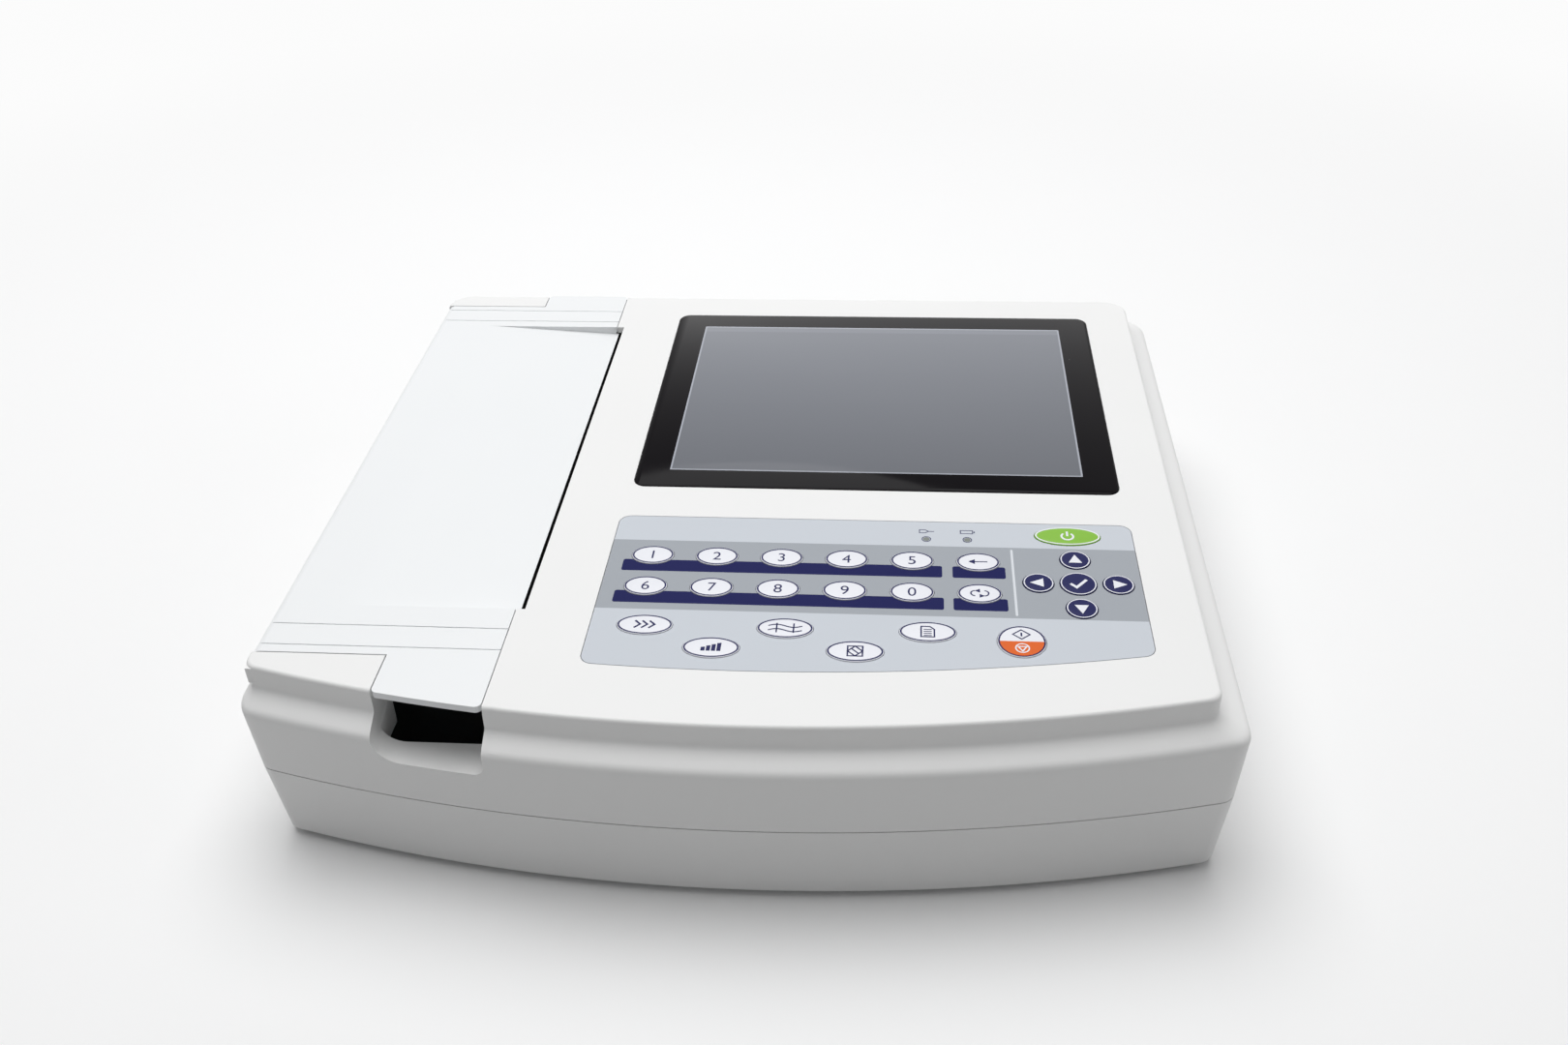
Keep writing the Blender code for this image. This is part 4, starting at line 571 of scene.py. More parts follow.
def screen_glass(settings):
    """Black printed border round a dark screen, behind one sheet of glass; the screen carries a painted
    reflection that lightens it towards its top.
    """
    material, tree, shader, place = blank_material("screen glass")
    half_w, half_h = settings.window_width / 2, settings.window_height / 2
    window = panel_mask(tree, place, CONSOLE_X - half_w, CONSOLE_X + half_w, -half_h, half_h, 0.3)
    inner = panel_mask(tree, place, CONSOLE_X - half_w + 0.7, CONSOLE_X + half_w - 0.7, -half_h + 0.7,
                       half_h - 0.9, 0.3)
    strip = panel_mask(tree, place, CONSOLE_X - half_w + 0.7, CONSOLE_X + half_w - 0.7, half_h - 5.0,
                       half_h - 0.9, 0.3)
    # Painted reflection: the dark screen is painted from 0.86 of its colour at the bottom to 1.22 at the top,
    # lighter upwards as if it caught light.
    height = tree.nodes.new("ShaderNodeSeparateXYZ")
    tree.links.new(place, height.inputs["Vector"])
    rise = tree.nodes.new("ShaderNodeMapRange")
    rise.inputs["From Min"].default_value = -half_h * MM
    rise.inputs["From Max"].default_value = half_h * MM
    tree.links.new(height.outputs["Y"], rise.inputs["Value"])
    dark = tuple(c * 0.86 for c in settings.screen)
    pale = tuple(c * 1.22 for c in settings.screen)
    panel = mix_colour(tree, rise.outputs["Result"], dark, pale)
    panel = mix_colour(tree, strip, panel, tuple(c * 1.35 for c in settings.screen))
    edge = tuple(min(c * 2.1, 1) for c in settings.screen)
    lit = mix_colour(tree, inner, edge, panel)
    cells = tree.nodes.new("ShaderNodeTexVoronoi")
    cells.inputs["Scale"].default_value = 190.0
    tree.links.new(place, cells.inputs["Vector"])
    picked = tree.nodes.new("ShaderNodeSeparateColor")
    tree.links.new(cells.outputs["Color"], picked.inputs["Color"])
    size = math_node(tree, "MULTIPLY", picked.outputs["Green"], 0.055)
    speck = math_node(tree, "MULTIPLY", math_node(tree, "LESS_THAN", cells.outputs["Distance"], size),
                      math_node(tree, "GREATER_THAN", picked.outputs["Red"], 0.80))
    dusty = mix_colour(tree, math_node(tree, "MULTIPLY", speck, 0.45), settings.glass, (0.55, 0.56, 0.60))
    tree.links.new(mix_colour(tree, window, dusty, lit), shader.inputs["Base Color"])
    smears = noise_node(tree, place, 26.0, 5.0, 0.7)
    smear = math_node(tree, "MULTIPLY", math_node(tree, "SUBTRACT", smears, 0.45), 0.16)
    rough = math_node(tree, "MAXIMUM", math_node(tree, "ADD", smear, 0.07), 0.04)
    tree.links.new(rough, shader.inputs["Roughness"])
    shader.inputs["Specular IOR Level"].default_value = 0.05
    return material


def paper_finish():
    """Chart paper, with the fine rings of its layers showing on the roll's ends."""
    material, tree, shader, place = blank_material("chart paper")
    parts = tree.nodes.new("ShaderNodeSeparateXYZ")
    tree.links.new(place, parts.inputs["Vector"])
    joint = JOINTS["roll_spin"]["pos_m"]
    across = math_node(tree, "SUBTRACT", parts.outputs["X"], joint[0])
    ramp = math_node(tree, "MULTIPLY", math_node(tree, "SUBTRACT", parts.outputs["Y"], joint[1]),
                     math.tan(DECK_TILT))
    up = math_node(tree, "SUBTRACT", math_node(tree, "SUBTRACT", parts.outputs["Z"], joint[2]), ramp)
    radius = math_node(tree, "SQRT", math_node(tree, "ADD", math_node(tree, "MULTIPLY", across, across),
                                               math_node(tree, "MULTIPLY", up, up)))
    rings = math_node(tree, "SINE", math_node(tree, "MULTIPLY", radius, 16000.0))
    shade = math_node(tree, "MULTIPLY_ADD", rings, 0.05, 0.5)
    tree.links.new(mix_colour(tree, shade, (0.80, 0.79, 0.76), (0.92, 0.92, 0.90)),
                   shader.inputs["Base Color"])
    shader.inputs["Roughness"].default_value = 0.75
    fibres = noise_node(tree, place, 1800.0, 4.0, 0.7)
    bump(tree, shader, fibres, 0.12, 0.00003)
    return material


def make_finishes(case, console):
    """Every finish, by the name of what it is on."""
    moulded_grain()
    handled_surface()
    printed_panel()
    return {
        "shell": plastic("shell plastic", case.shell, 0.50, 2300.0, 0.30, 0.035, 0.08),
        "lid": plastic("lid plastic", case.lid, 0.38, 3200.0, 0.12, 0.025, 0.10),
        "film": overlay_film(console),
        "key": plastic("key film", console.key_white, 0.38, 3800.0, 0.12, 0.02, 0.06),
        "navy": plastic("navy ink", console.navy, 0.36, 3800.0, 0.12, 0.02, 0.06, 0.15),
        "green": plastic("green ink", console.green, 0.38, 3800.0, 0.12, 0.03, 0.06, 0.25),
        "orange": plastic("orange ink", console.orange, 0.38, 3800.0, 0.12, 0.03, 0.06, 0.2),
        "glass": screen_glass(console),
        "lamp_off": plastic("unlit lamp", (0.20, 0.22, 0.20), 0.25, 2600.0, 0.05, 0.05, 0.04),
        "works": plastic("printer plastic", (0.055, 0.057, 0.060), 0.55, 1800.0, 0.35, 0.10, 0.12),
        "nylon": plastic("gear nylon", (0.76, 0.74, 0.66), 0.42, 2200.0, 0.15, 0.08, 0.10),
        "rubber": plastic("platen rubber", (0.022, 0.022, 0.023), 0.72, 1500.0, 0.45, 0.25, 0.15, 0.3),
        "black": plastic("black plastic", (0.020, 0.020, 0.022), 0.42, 2400.0, 0.30, 0.12, 0.12),
        "board": plastic("solder mask", (0.015, 0.13, 0.045), 0.34, 900.0, 0.30, 0.20, 0.12),
        "battery": plastic("battery sleeve", (0.03, 0.09, 0.30), 0.35, 1200.0, 0.15, 0.10, 0.15),
        "lcd": plastic("screen module", (0.05, 0.05, 0.055), 0.40, 1800.0, 0.15, 0.10, 0.10),
        "steel": metal("steel", (0.58, 0.58, 0.59), 0.26),
        "plate": metal("plated steel", (0.62, 0.61, 0.58), 0.32, "X"),
        "brass": metal("brass", (0.74, 0.56, 0.25), 0.26, "Z"),
        "gold": metal("contacts", (0.83, 0.62, 0.26), 0.22, "X"),
        "paper": paper_finish(),
    }


FINISH = {}


# ---- case ------------------------------------------------------------------------------------------------
def case_outline(settings, inset):
    """The case's plan outline, inset by (left, right, front, back) from its widest line."""
    left, right, front, back = LEFT + inset[0], RIGHT - inset[1], FRONT + inset[2], BACK - inset[3]
    bow = settings.front_radius - inset[2]
    front_corner = max(settings.front_corner - inset[2] * 0.3, 2.0)
    back_corner = max(settings.back_corner - inset[3] * 0.5, 2.0)
    middle = front + bow
    centres, turns = [], []
    for side in (left, right):
        across = side - math.copysign(front_corner, side)
        along = middle - math.sqrt((bow - front_corner) ** 2 - across**2)
        centres.append((across, along))
        turns.append(math.atan2(along - middle, across))
    steps = settings.corner_steps
    return (arc((0, middle), bow, turns[0], turns[1], settings.front_steps)
            + arc(centres[1], front_corner, turns[1], 0, steps)[1:]
            + arc((right - back_corner, back - back_corner), back_corner, 0, math.pi / 2, steps)
            + arc((left + back_corner, back - back_corner), back_corner, math.pi / 2, math.pi, steps)
            + arc(centres[0], front_corner, -math.pi, turns[0], steps)[:-1])


def widen(inset, extra):
    return tuple(side + extra for side in inset)


def flat_ring(settings, inset, z):
    return [(x, y, z) for x, y in case_outline(settings, inset)]


def deck_ring(settings, inset, drop):
    return [(x, y, deck_z(y, drop)) for x, y in case_outline(settings, inset)]


# The step round the deck, as shares of the step's width with drops below the deck:
# a rounded shoulder, a ledge that falls outwards, and a tight inner corner.
LEDGE_PROFILE = (
    (0.0, 16.4), (0.0, 15.4), (0.02, 14.6), (0.06, 13.8), (0.13, 13.1), (0.23, 12.5), (0.40, 11.75),
    (0.60, 10.9), (0.80, 10.1), (0.91, 9.6), (0.965, 9.15), (0.992, 8.6), (1.0, 8.0),
)


def shell_volume(settings, name):
    """Outside of the upper case: wall, a ledge round the raised deck, and the deck's rounded rim."""
    rings = [flat_ring(settings, (PARTING_INSET,) * 4, PARTING_Z)]
    for share, drop in LEDGE_PROFILE:
        rings.append(deck_ring(settings, tuple(side * share for side in STEP_INSET), drop))
    rim = 1.4
    for i in range(6):
        turn = math.pi / 2 * i / 5
        rings.append(deck_ring(settings, widen(STEP_INSET, rim * (1 - math.cos(turn))),
                               rim * (1 - math.sin(turn))))
    return loft(name, rings)


def scoop(name, front_y, back_y, floor, round_left, round_right, lift):
    """A finger notch: rounded lower corners, and a floor that sweeps up towards its inner end."""
    top = deck_z(BACK, -20.0)
    left, right = TAB_LEFT + 0.1, SEAM_X - 0.1
    steps = 10
    rings = []
    for i in range(steps + 1):
        t = i / steps
        rise = (1 - math.sqrt(max(1 - (max(t - 0.45, 0) / 0.55) ** 2, 0))) * lift
        low = floor + rise
        outline = (arc((left + round_left, low + round_left), round_left, math.pi, 3 * math.pi / 2, 10)
                   + arc((right - round_right, low + round_right), round_right, -math.pi / 2, 0, 8)
                   + [(right, top), (left, top)])
        y = front_y + (back_y - front_y) * t
        rings.append([(x, y, z) for x, z in outline])
    return loft(name, rings)


def key_shapes():
    """Every key's place and size on the deck: name to (x, v, width, height)."""
    shapes = {}
    for name in frame["nodes"]:
        if not name.startswith("key_") or name == "key_board":
            continue
        low, high = node_box(name)
        middle = on_deck((low + high) / 2)
        depth = (high.y - low.y - KEY_TALL * math.sin(DECK_TILT)) / math.cos(DECK_TILT)
        shapes[name] = (middle.x, middle.y, high.x - low.x - 2 * KEY_FLANGE, depth - 2 * KEY_FLANGE)
    return shapes


def overlay_outline(grow):
    """The keypad film's outline, whose front edge bows with the case."""
    middle = OVERLAY_FRONT_V + OVERLAY_FRONT_RADIUS
    left, right = CONSOLE_X - OVERLAY_HALF_WIDTH - grow, CONSOLE_X + OVERLAY_HALF_WIDTH + grow
    bow, corner = OVERLAY_FRONT_RADIUS + grow, OVERLAY_CORNER + grow
    centres, turns = [], []
    for across in (left + corner, right - corner):
        along = middle - math.sqrt((bow - corner) ** 2 - across**2)
        centres.append((across, along))
        turns.append(math.atan2(along - middle, across))
    top = OVERLAY_TOP_V + grow
    return (arc((0, middle), bow, turns[0], turns[1], 32)
            + arc(centres[1], corner, turns[1], 0, 7)[1:]
            + arc((right - corner, top - corner), corner, 0, math.pi / 2, 7)
            + arc((left + corner, top - corner), corner, math.pi / 2, math.pi, 7)
            + arc(centres[0], corner, -math.pi, turns[0], 7)[:-1])


def make_upper_case(settings, console):
    shell = shell_volume(settings, "upper_shell")
    inside = loft("hollow", [
        flat_ring(settings, (PARTING_INSET + WALL,) * 4, PARTING_Z - 6.0),
        deck_ring(settings, widen(NO_INSET, WALL), STEP_FOOT_DROP + 1.5),
        deck_ring(settings, widen(STEP_INSET, WALL), STEP_FOOT_DROP - 5.0),
        deck_ring(settings, widen(STEP_INSET, WALL), DECK_SKIN),
    ])
    carve(shell, cut=[inside])
    low_v, high_v = LID_FRONT_V - LID_GAP, LID_BACK_V + LID_GAP
    joined = [
        box("front_strip", (LEFT + 8.0, LID_FRONT_V - 3.0, -STRIP_TOP - STRIP_DEPTH),
            (SEAM_X + 2.0, LID_FRONT_V + STRIP_REACH, -DECK_SKIN + 1.0), DECK),
        box("back_strip", (LEFT + 8.0, LID_BACK_V - STRIP_REACH, -STRIP_TOP - STRIP_DEPTH),
            (SEAM_X + 2.0, LID_BACK_V + 3.0, -DECK_SKIN + 1.0), DECK),
        box("front_pin_boss", (HINGE_X - 2.5, low_v - 8.0, HINGE_W - 4.0),
            (HINGE_X + 4.0, low_v + 2.0, -1.0), DECK),
        box("back_pin_boss", (HINGE_X - 2.5, high_v - 2.0, HINGE_W - 4.0),
            (HINGE_X + 4.0, high_v + 8.0, -1.0), DECK),
    ]
    notch_floor, rear_floor = deck_z(FRONT, 23.0), deck_z(BACK, 24.0)
    notch_back, rear_front = FRONT + 32.0, DECK_ORIGIN.y + LID_BACK_V + 3.5
    for name, y_low, y_high, floor in (("front", FRONT - 5.0, notch_back + WALL, notch_floor),
                                       ("rear", rear_front - WALL, BACK + 5.0, rear_floor)):
        block = box(name + "_notch_block", (TAB_LEFT - WALL, y_low, floor - WALL),
                    (SEAM_X + WALL, y_high, deck_z(BACK, -5.0)))
        limit = shell_volume(settings, name + "_limit")
        modifier = block.modifiers.new("limit", "BOOLEAN")
        modifier.object = limit
        modifier.operation = "INTERSECT"
        carve(block)
        bpy.data.objects.remove(limit)
        joined.append(block)
    far_low, far_high = deck_v(FRONT) - 9.0, deck_v(BACK) + 9.0
    lid_plan = [(LEFT - 5, low_v), (TAB_LEFT, low_v), (TAB_LEFT, far_low), (SEAM_X, far_low),
                (SEAM_X, far_high),
                (TAB_LEFT, far_high), (TAB_LEFT, high_v), (LEFT - 5, high_v)]
    bay_left, bay_right = HINGE_X + 3.0, SEAM_X - 0.2
    bay_low, bay_high = LID_FRONT_V + STRIP_REACH, LID_BACK_V - STRIP_REACH
    bay_plan = [(bay_left, bay_low), (bay_right, bay_low), (bay_right, RECESS_FRONT_V),
                (SLIT_RIGHT, RECESS_FRONT_V),
                (SLIT_RIGHT, RECESS_BACK_V), (bay_right, RECESS_BACK_V), (bay_right, bay_high),
                (bay_left, bay_high)]
    glass_half_w, glass_half_h = (GLASS_HIGH.x - GLASS_LOW.x) / 2 + 0.3, GLASS_HALF_HEIGHT + 0.3
    seat = rounded(CONSOLE_X - glass_half_w, CONSOLE_X + glass_half_w, -glass_half_h, glass_half_h,
                   console.glass_corner + 0.3, 8)
    cuts = [
        prism("lid_cut", [lid_plan], -STRIP_TOP, 20.0, DECK),
        box("barrel_cut", (LEFT - 7, low_v + 0.1, HINGE_W - HINGE_RADIUS - LID_GAP),
            (HINGE_X + 5.0, high_v - 0.1, 7.0), DECK),
        prism("bay_cut", [bay_plan], -14.0, 6.0, DECK),
        scoop("front_notch", FRONT - 12.0, notch_back, notch_floor, 9.0, 4.0, 5.0),
        box("front_notch_mouth", (TAB_LEFT + 0.6, FRONT + 20.5, notch_floor - 6.0),
            (SEAM_X - 0.6, notch_back + 9.0, deck_z(notch_back, 6.4))),
        scoop("rear_notch", BACK + 12.0, rear_front, rear_floor, 6.0, 6.0, 9.0),
        prism("glass_seat", [seat], GLASS_MIDDLE_W - 1.2, 5.0, DECK),
        box("screen_window", (CONSOLE_X - console.window_width / 2 - 2, -console.window_height / 2 - 2,
                              -20.0),
            (CONSOLE_X + console.window_width / 2 + 2, console.window_height / 2 + 2, 5.0), DECK),
        prism("keypad_seat", [overlay_outline(0.3)], -1.2, 5.0, DECK),
        prism("keypad_window", [overlay_outline(-1.2)], -20.0, 5.0, DECK),
    ]
    carve(shell, joined=joined, cut=cuts)
    soften(shell, settings.edge_round)
    fit(shell, "case", FINISH["shell"], "upper_case", "upper_case")


def make_lower_case(settings):
    """The lower shell, with a rounded bottom edge, port openings, vents and the battery's bay."""
    rings = []
    base = 1.8
    for i in range(7):
        turn = math.pi / 2 * i / 6
        inset = BOTTOM_INSET + base * (1 - math.sin(turn))
        rings.append(flat_ring(settings, (inset,) * 4, BOTTOM_Z + base * (1 - math.cos(turn))))
    rings.append(flat_ring(settings, (PARTING_INSET,) * 4, PARTING_Z - 0.45))
    shell = loft("lower_shell", rings)
    floor_top = BOTTOM_Z + WALL
    inside = loft("hollow", [flat_ring(settings, (BOTTOM_INSET + WALL,) * 4, floor_top),
                             flat_ring(settings, (PARTING_INSET + WALL,) * 4, PARTING_Z + 1.0)])
    cuts = [inside]
    for node in ("ecg_socket", "usb_socket", "lan_socket"):
        low, high = port_body(node)
        cuts.append(box(node + "_opening", (RIGHT - 14, low.y - 0.3, low.z - 0.3),
                        (RIGHT + 5, high.y + 0.3, high.z + 0.3)))
    for node in ("mains_inlet", "mains_rocker"):
        low, high = port_body(node)
        reach = 1.5 if node == "mains_rocker" else 0.3
        cuts.append(box(node + "_opening", (low.x - 0.3, BACK - 14, low.z - reach),
                        (high.x + 0.3, BACK + 5, high.z + reach)))
    low, high = node_box("ground_stud")
    middle = (low + high) / 2
    cuts.append(cylinder("stud_hole", 3.3, (middle.x, BACK - 14, middle.z), (middle.x, BACK + 5, middle.z)))
    for i in range(7):
        x = -60.0 + i * 12.0
        cuts.append(prism(f"vent_{i}", [rounded(x, x + 4.0, 60.0, 110.0, 1.9, 5)], 0, floor_top + 3))
    low, high = node_box("battery_door")
    cuts.append(prism("door_opening", [rounded(low.x - 0.4, high.x + 0.4, low.y - 0.4, high.y + 0.4, 2.0,
                                               5)], -1, 40))
    for name in ("foot_front_left", "foot_front_right", "foot_back_left", "foot_back_right"):
        low, high = node_box(name)
        middle = (low + high) / 2
        cuts.append(cylinder(name + "_recess", 9.4, (middle.x, middle.y, -1),
                             (middle.x, middle.y, high.z + 0.2)))
    for name in frame["nodes"]:
        if name.startswith("case_screw"):
            low, high = node_box(name)
            middle = (low + high) / 2
            cuts.append(cylinder(name + "_well", 3.6, (middle.x, middle.y, -1),
                                 (middle.x, middle.y, low.z + 2.3)))
    carve(shell, cut=cuts)
    soften(shell, settings.edge_round)
    fit(shell, "case", FINISH["shell"], "lower_case", "lower_case")


def port_body(node):
    """The part of a socket that stands in the wall's opening, without its inner flange."""
    low, high = node_box(node)
    if node == "ecg_socket":
        low, high = Vector(low), Vector(high)
        middle = (low + high) / 2
        low.y, high.y = middle.y - 13.5, middle.y + 13.5
        low.z, high.z = PORT_Z - 6.0, PORT_Z + 6.0
    if node == "mains_inlet":
        middle = (low + high) / 2
        low.x, high.x = middle.x - 13.5, middle.x + 13.5
        low.z, high.z = PORT_Z - 9.8, PORT_Z + 9.8
    return low, high


def front_edge_v(settings, x, inset):
    radius = settings.front_radius - inset
    return deck_v(FRONT + inset + radius - math.sqrt(radius**2 - x**2))


def make_printer_lid(settings):
    """The lid: end bands with tabs and fine lines, a middle that falls away to the slit, barrel and lugs."""
    right = SEAM_X - LID_GAP + 0.1
    tab_left = TAB_LEFT + LID_GAP
    inset = STEP_INSET[2] - 0.2
    corner = 2.2
    tab_v = [(x, front_edge_v(settings, x, inset)) for x in
             (tab_left + corner, tab_left + 13.0, tab_left + 26.0, right - corner)]
    front_plan = ([(HINGE_X, LID_FRONT_V), (tab_left, LID_FRONT_V)]
                  + arc((tab_left + corner, tab_v[0][1] + corner), corner, math.pi, 3 * math.pi / 2, 5)
                  + tab_v[1:3]
                  + arc((right - corner, tab_v[3][1] + corner), corner, -math.pi / 2, 0, 5)
                  + [(right, RECESS_FRONT_V), (HINGE_X, RECESS_FRONT_V)])
    back_edge = deck_v(BACK - STEP_INSET[3] + 0.2)
    back_plan = ([(HINGE_X, RECESS_BACK_V), (right, RECESS_BACK_V)]
                 + arc((right - corner, back_edge - corner), corner, 0, math.pi / 2, 5)
                 + arc((tab_left + corner, back_edge - corner), corner, math.pi / 2, math.pi, 5)
                 + [(tab_left, LID_BACK_V), (HINGE_X, LID_BACK_V)])
    slope_start, depth = LIP_X - 64.0, 3.6
    middle = [(HINGE_X, 0.0), (HINGE_X, -LID_THICKNESS), (slope_start, -LID_THICKNESS),
              (LIP_X - 2.4, -depth - 1.8), (LIP_X, -depth - 0.35), (LIP_X, -depth),
              (LIP_X - 4.2, -depth + 0.15), (slope_start + 4.0, -0.06), (slope_start, 0.0)]
    lid = prism("lid_cover", [middle], RECESS_FRONT_V - 0.5, RECESS_BACK_V + 0.5, DECK, "Y")
    joined = [
        prism("front_band", [front_plan], -LID_THICKNESS, 0.0, DECK),
        prism("back_band", [back_plan], -LID_THICKNESS, 0.0, DECK),
        cylinder("barrel", HINGE_RADIUS, (HINGE_X, LID_FRONT_V, HINGE_W), (HINGE_X, LID_BACK_V, HINGE_W),
                 DECK, 64),
    ]
    for v_low, v_high in ((RECESS_FRONT_V - 2.0, RECESS_FRONT_V + 0.01),
                          (RECESS_BACK_V - 0.01, RECESS_BACK_V + 2.0)):
        joined.append(box("rib", (slope_start - 2.0, v_low, -depth - LID_THICKNESS),
                          (LIP_X - 1.2, v_high, -0.6), DECK))
    for sign in (-1, 1):
        low, high = sorted((PAPER_V + sign * LUG_INNER, PAPER_V + sign * LUG_OUTER))
        lug = ([(PLATEN_X - 6.0, -3.9), (PLATEN_X - 6.0, PLATEN_W)]
               + arc((PLATEN_X, PLATEN_W), 4.6, math.pi, 2 * math.pi, 12)[1:-1]
               + [(PLATEN_X + 5.0, PLATEN_W), (PLATEN_X + 5.0, -4.2)])
        joined.append(prism("lug", [lug], low, high, DECK, "Y"))
    for x, top in ((-152.0, -2.0), (-130.0, -2.4), (-108.0, -3.5)):
        joined.append(box("stiffener", (x, RECESS_FRONT_V + 6.0, top - 2.8),
                          (x + 1.4, RECESS_BACK_V - 6.0, top), DECK))
    cuts = [
        cylinder("bore", 1.6, (HINGE_X, LID_FRONT_V - 5, HINGE_W), (HINGE_X, LID_BACK_V + 5, HINGE_W), DECK,
                 24),
        cylinder("lug_bore", 2.8, (PLATEN_X, PAPER_V - 116, PLATEN_W), (PLATEN_X, PAPER_V + 116, PLATEN_W),
                 DECK, 24),
    ]
    for v in (-178.7, -167.2, 67.4, 78.3):
        cuts.append(box("line", (LEFT - 3, v - settings.line_width / 2, -0.35),
                        (right + 3, v + settings.line_width / 2, 2),
                        DECK))
    carve(lid, joined=joined, cut=cuts)
    soften(lid, settings.lid_round)
    fit(lid, "lid", FINISH["lid"], "printer_lid", "printer_lid")


# ---- console ---------------------------------------------------------------------------------------------
class Print:
    """Ink on a key or panel: flat faces a hair above it, each with a material's number."""

    def __init__(self, height):
        self.bm = bmesh.new()
        self.height = height

    def patch(self, points, ink):
        face = self.bm.faces.new([self.bm.verts.new((x, v, self.height)) for x, v in points])
        face.material_index = ink

    def stroke(self, points, width, ink, closed=False):
        """A line of even width through the points, mitred at its bends."""
        count = len(points)
        sides = []
        for i in range(count):
            here = Vector(points[i])
            before = (here - Vector(points[i - 1])).normalized() if i or closed else None
            after = (Vector(points[(i + 1) % count]) - here).normalized() if i + 1 < count or closed else None
            along = ((before or after) + (after or before)).normalized()
            normal = Vector((-along.y, along.x))
            straight = after or before
            reach = width / 2 / max(abs(normal.dot(Vector((-straight.y, straight.x)))), 0.4)
            sides.append((here + normal * reach, here - normal * reach))
        for i in range(count if closed else count - 1):
            (a, b), (c, d) = sides[i], sides[(i + 1) % count]
            self.patch([a, b, d, c], ink)

    def add_to(self, mesh):
        """Adds the ink to a mesh in metres."""
        bmesh.ops.scale(self.bm, vec=(MM, MM, MM), verts=self.bm.verts)
        for face in self.bm.faces:
            face.normal_update()
            if face.normal.z < 0:
                face.normal_flip()
        ink = bpy.data.meshes.new("ink")
        self.bm.to_mesh(ink)
        whole = bmesh.new()
        whole.from_mesh(mesh)
        whole.from_mesh(ink)
        whole.to_mesh(mesh)
        whole.free()
        self.bm.free()
        bpy.data.meshes.remove(ink)


def digit_faces(print_, digit, x, v, size, ink):
    """Adds a digit's outline, filled, centred on a point."""
    text = bpy.data.curves.new("digit", "FONT")
    text.body = digit
    text.size = size * MM
    text.align_x = "CENTER"
    text.align_y = "CENTER"
    text.resolution_u = 6
    obj = solid("digit", text)
    bpy.context.view_layer.update()
    mesh = bpy.data.meshes.new_from_object(obj.evaluated_get(bpy.context.evaluated_depsgraph_get()))
    bpy.data.objects.remove(obj)
    points = [vertex.co / MM for vertex in mesh.vertices]
    low = min(point.y for point in points)
    high = max(point.y for point in points)
    shift = v - (low + high) / 2
    for polygon in mesh.polygons:
        print_.patch([(points[i].x + x, points[i].y + shift) for i in polygon.vertices], ink)
    bpy.data.meshes.remove(mesh)


def circle(x, v, radius, sides=40):
    return oval(x, v, 2 * radius, 2 * radius, 0.0, sides)


def key_symbol(print_, name, x, v, dark, pale):
    """The plain sign on a key: a digit, an arrow or a simple drawing."""
    line = 0.55
    if name[4:].isdigit():
        digit_faces(print_, name[4:], x, v, 7.0, dark)
    elif name in ARROWS:
        turn = ARROWS[name]
        corners = [(x + 3.1 * math.cos(turn + a), v + 3.1 * math.sin(turn + a)) for a in (0, 2.2, -2.2)]
        print_.patch(corners, pale)
    elif name == "key_ok":
        print_.stroke([(x - 2.9, v - 0.2), (x - 0.8, v - 2.3), (x + 3.1, v + 2.3)], 1.15, pale)
    elif name == "key_backspace":
        print_.stroke([(x + 3.4, v), (x - 1.6, v)], line, dark)
        print_.patch([(x - 3.6, v), (x - 1.2, v + 1.5), (x - 1.2, v - 1.5)], dark)
    elif name == "key_shift":
        for sign in (-1, 1):
            first = -sign * math.pi / 2
            bend = [(x + sign * 1.7 + 1.5 * math.cos(first + math.pi * i / 12),
                     v + 1.5 * math.sin(first + math.pi * i / 12)) for i in range(13)]
            print_.stroke(bend, line, dark)
        print_.patch([(x - 1.9, v + 1.5), (x + 0.1, v + 2.6), (x + 0.1, v + 0.4)], dark)
        print_.patch([(x + 1.9, v - 1.5), (x - 0.1, v - 0.4), (x - 0.1, v - 2.6)], dark)
    elif name == "key_speed":
        for shift in (-2.6, 0.0, 2.6):
            print_.stroke([(x + shift - 1.0, v + 2.0), (x + shift + 1.0, v), (x + shift - 1.0, v - 2.0)],
                          0.75, dark)
    elif name == "key_gain":
        for i in range(4):
            left = x - 3.5 + i * 1.85
            print_.patch([(left, v - 2.0), (left + 1.45, v - 2.0), (left + 1.45, v + 0.2 + i * 0.75),
                          (left, v - 0.05 + i * 0.75)], dark)
    elif name == "key_filter":
        for rise in (1.1, -1.3):
            wave = [(x - 6 + 12 * i / 24,
                     v + rise + 0.75 * math.sin(2 * math.pi * i / 24)) for i in range(25)]
            print_.stroke(wave, line, dark)
        for post in (-3.0, 3.0):
            print_.stroke([(x + post, v - 2.6), (x + post, v + 2.6)], line, dark)
    elif name == "key_mode":
        half = 2.6
        print_.stroke([(x - half, v - half), (x + half, v - half), (x + half, v + half),
                       (x - half, v + half)], line, dark, True)
        print_.stroke([(x - half, v), (x, v + half), (x + half, v), (x, v - half)], line, dark, True)
        print_.stroke([(x - 1.3, v + 1.3), (x + 1.3, v - 1.3)], line, dark)
    elif name == "key_print":
        print_.stroke([(x - 2.3, v - 2.8), (x + 2.3, v - 2.8), (x + 2.3, v + 1.3), (x + 0.8, v + 2.8),
                       (x - 2.3, v + 2.8)], line, dark, True)
        for i in range(4):
            print_.stroke([(x - 1.4, v + 1.2 - i * 1.1), (x + 1.4, v + 1.2 - i * 1.1)], 0.42, dark)
    elif name == "key_power":
        ring = [(x + 2.2 * math.cos(math.radians(a)), v - 0.2 + 2.2 * math.sin(math.radians(a)))
                for a in range(130, 411, 14)]
        print_.stroke(ring, 0.8, pale)
        print_.stroke([(x, v - 0.1), (x, v + 2.9)], 0.8, pale)


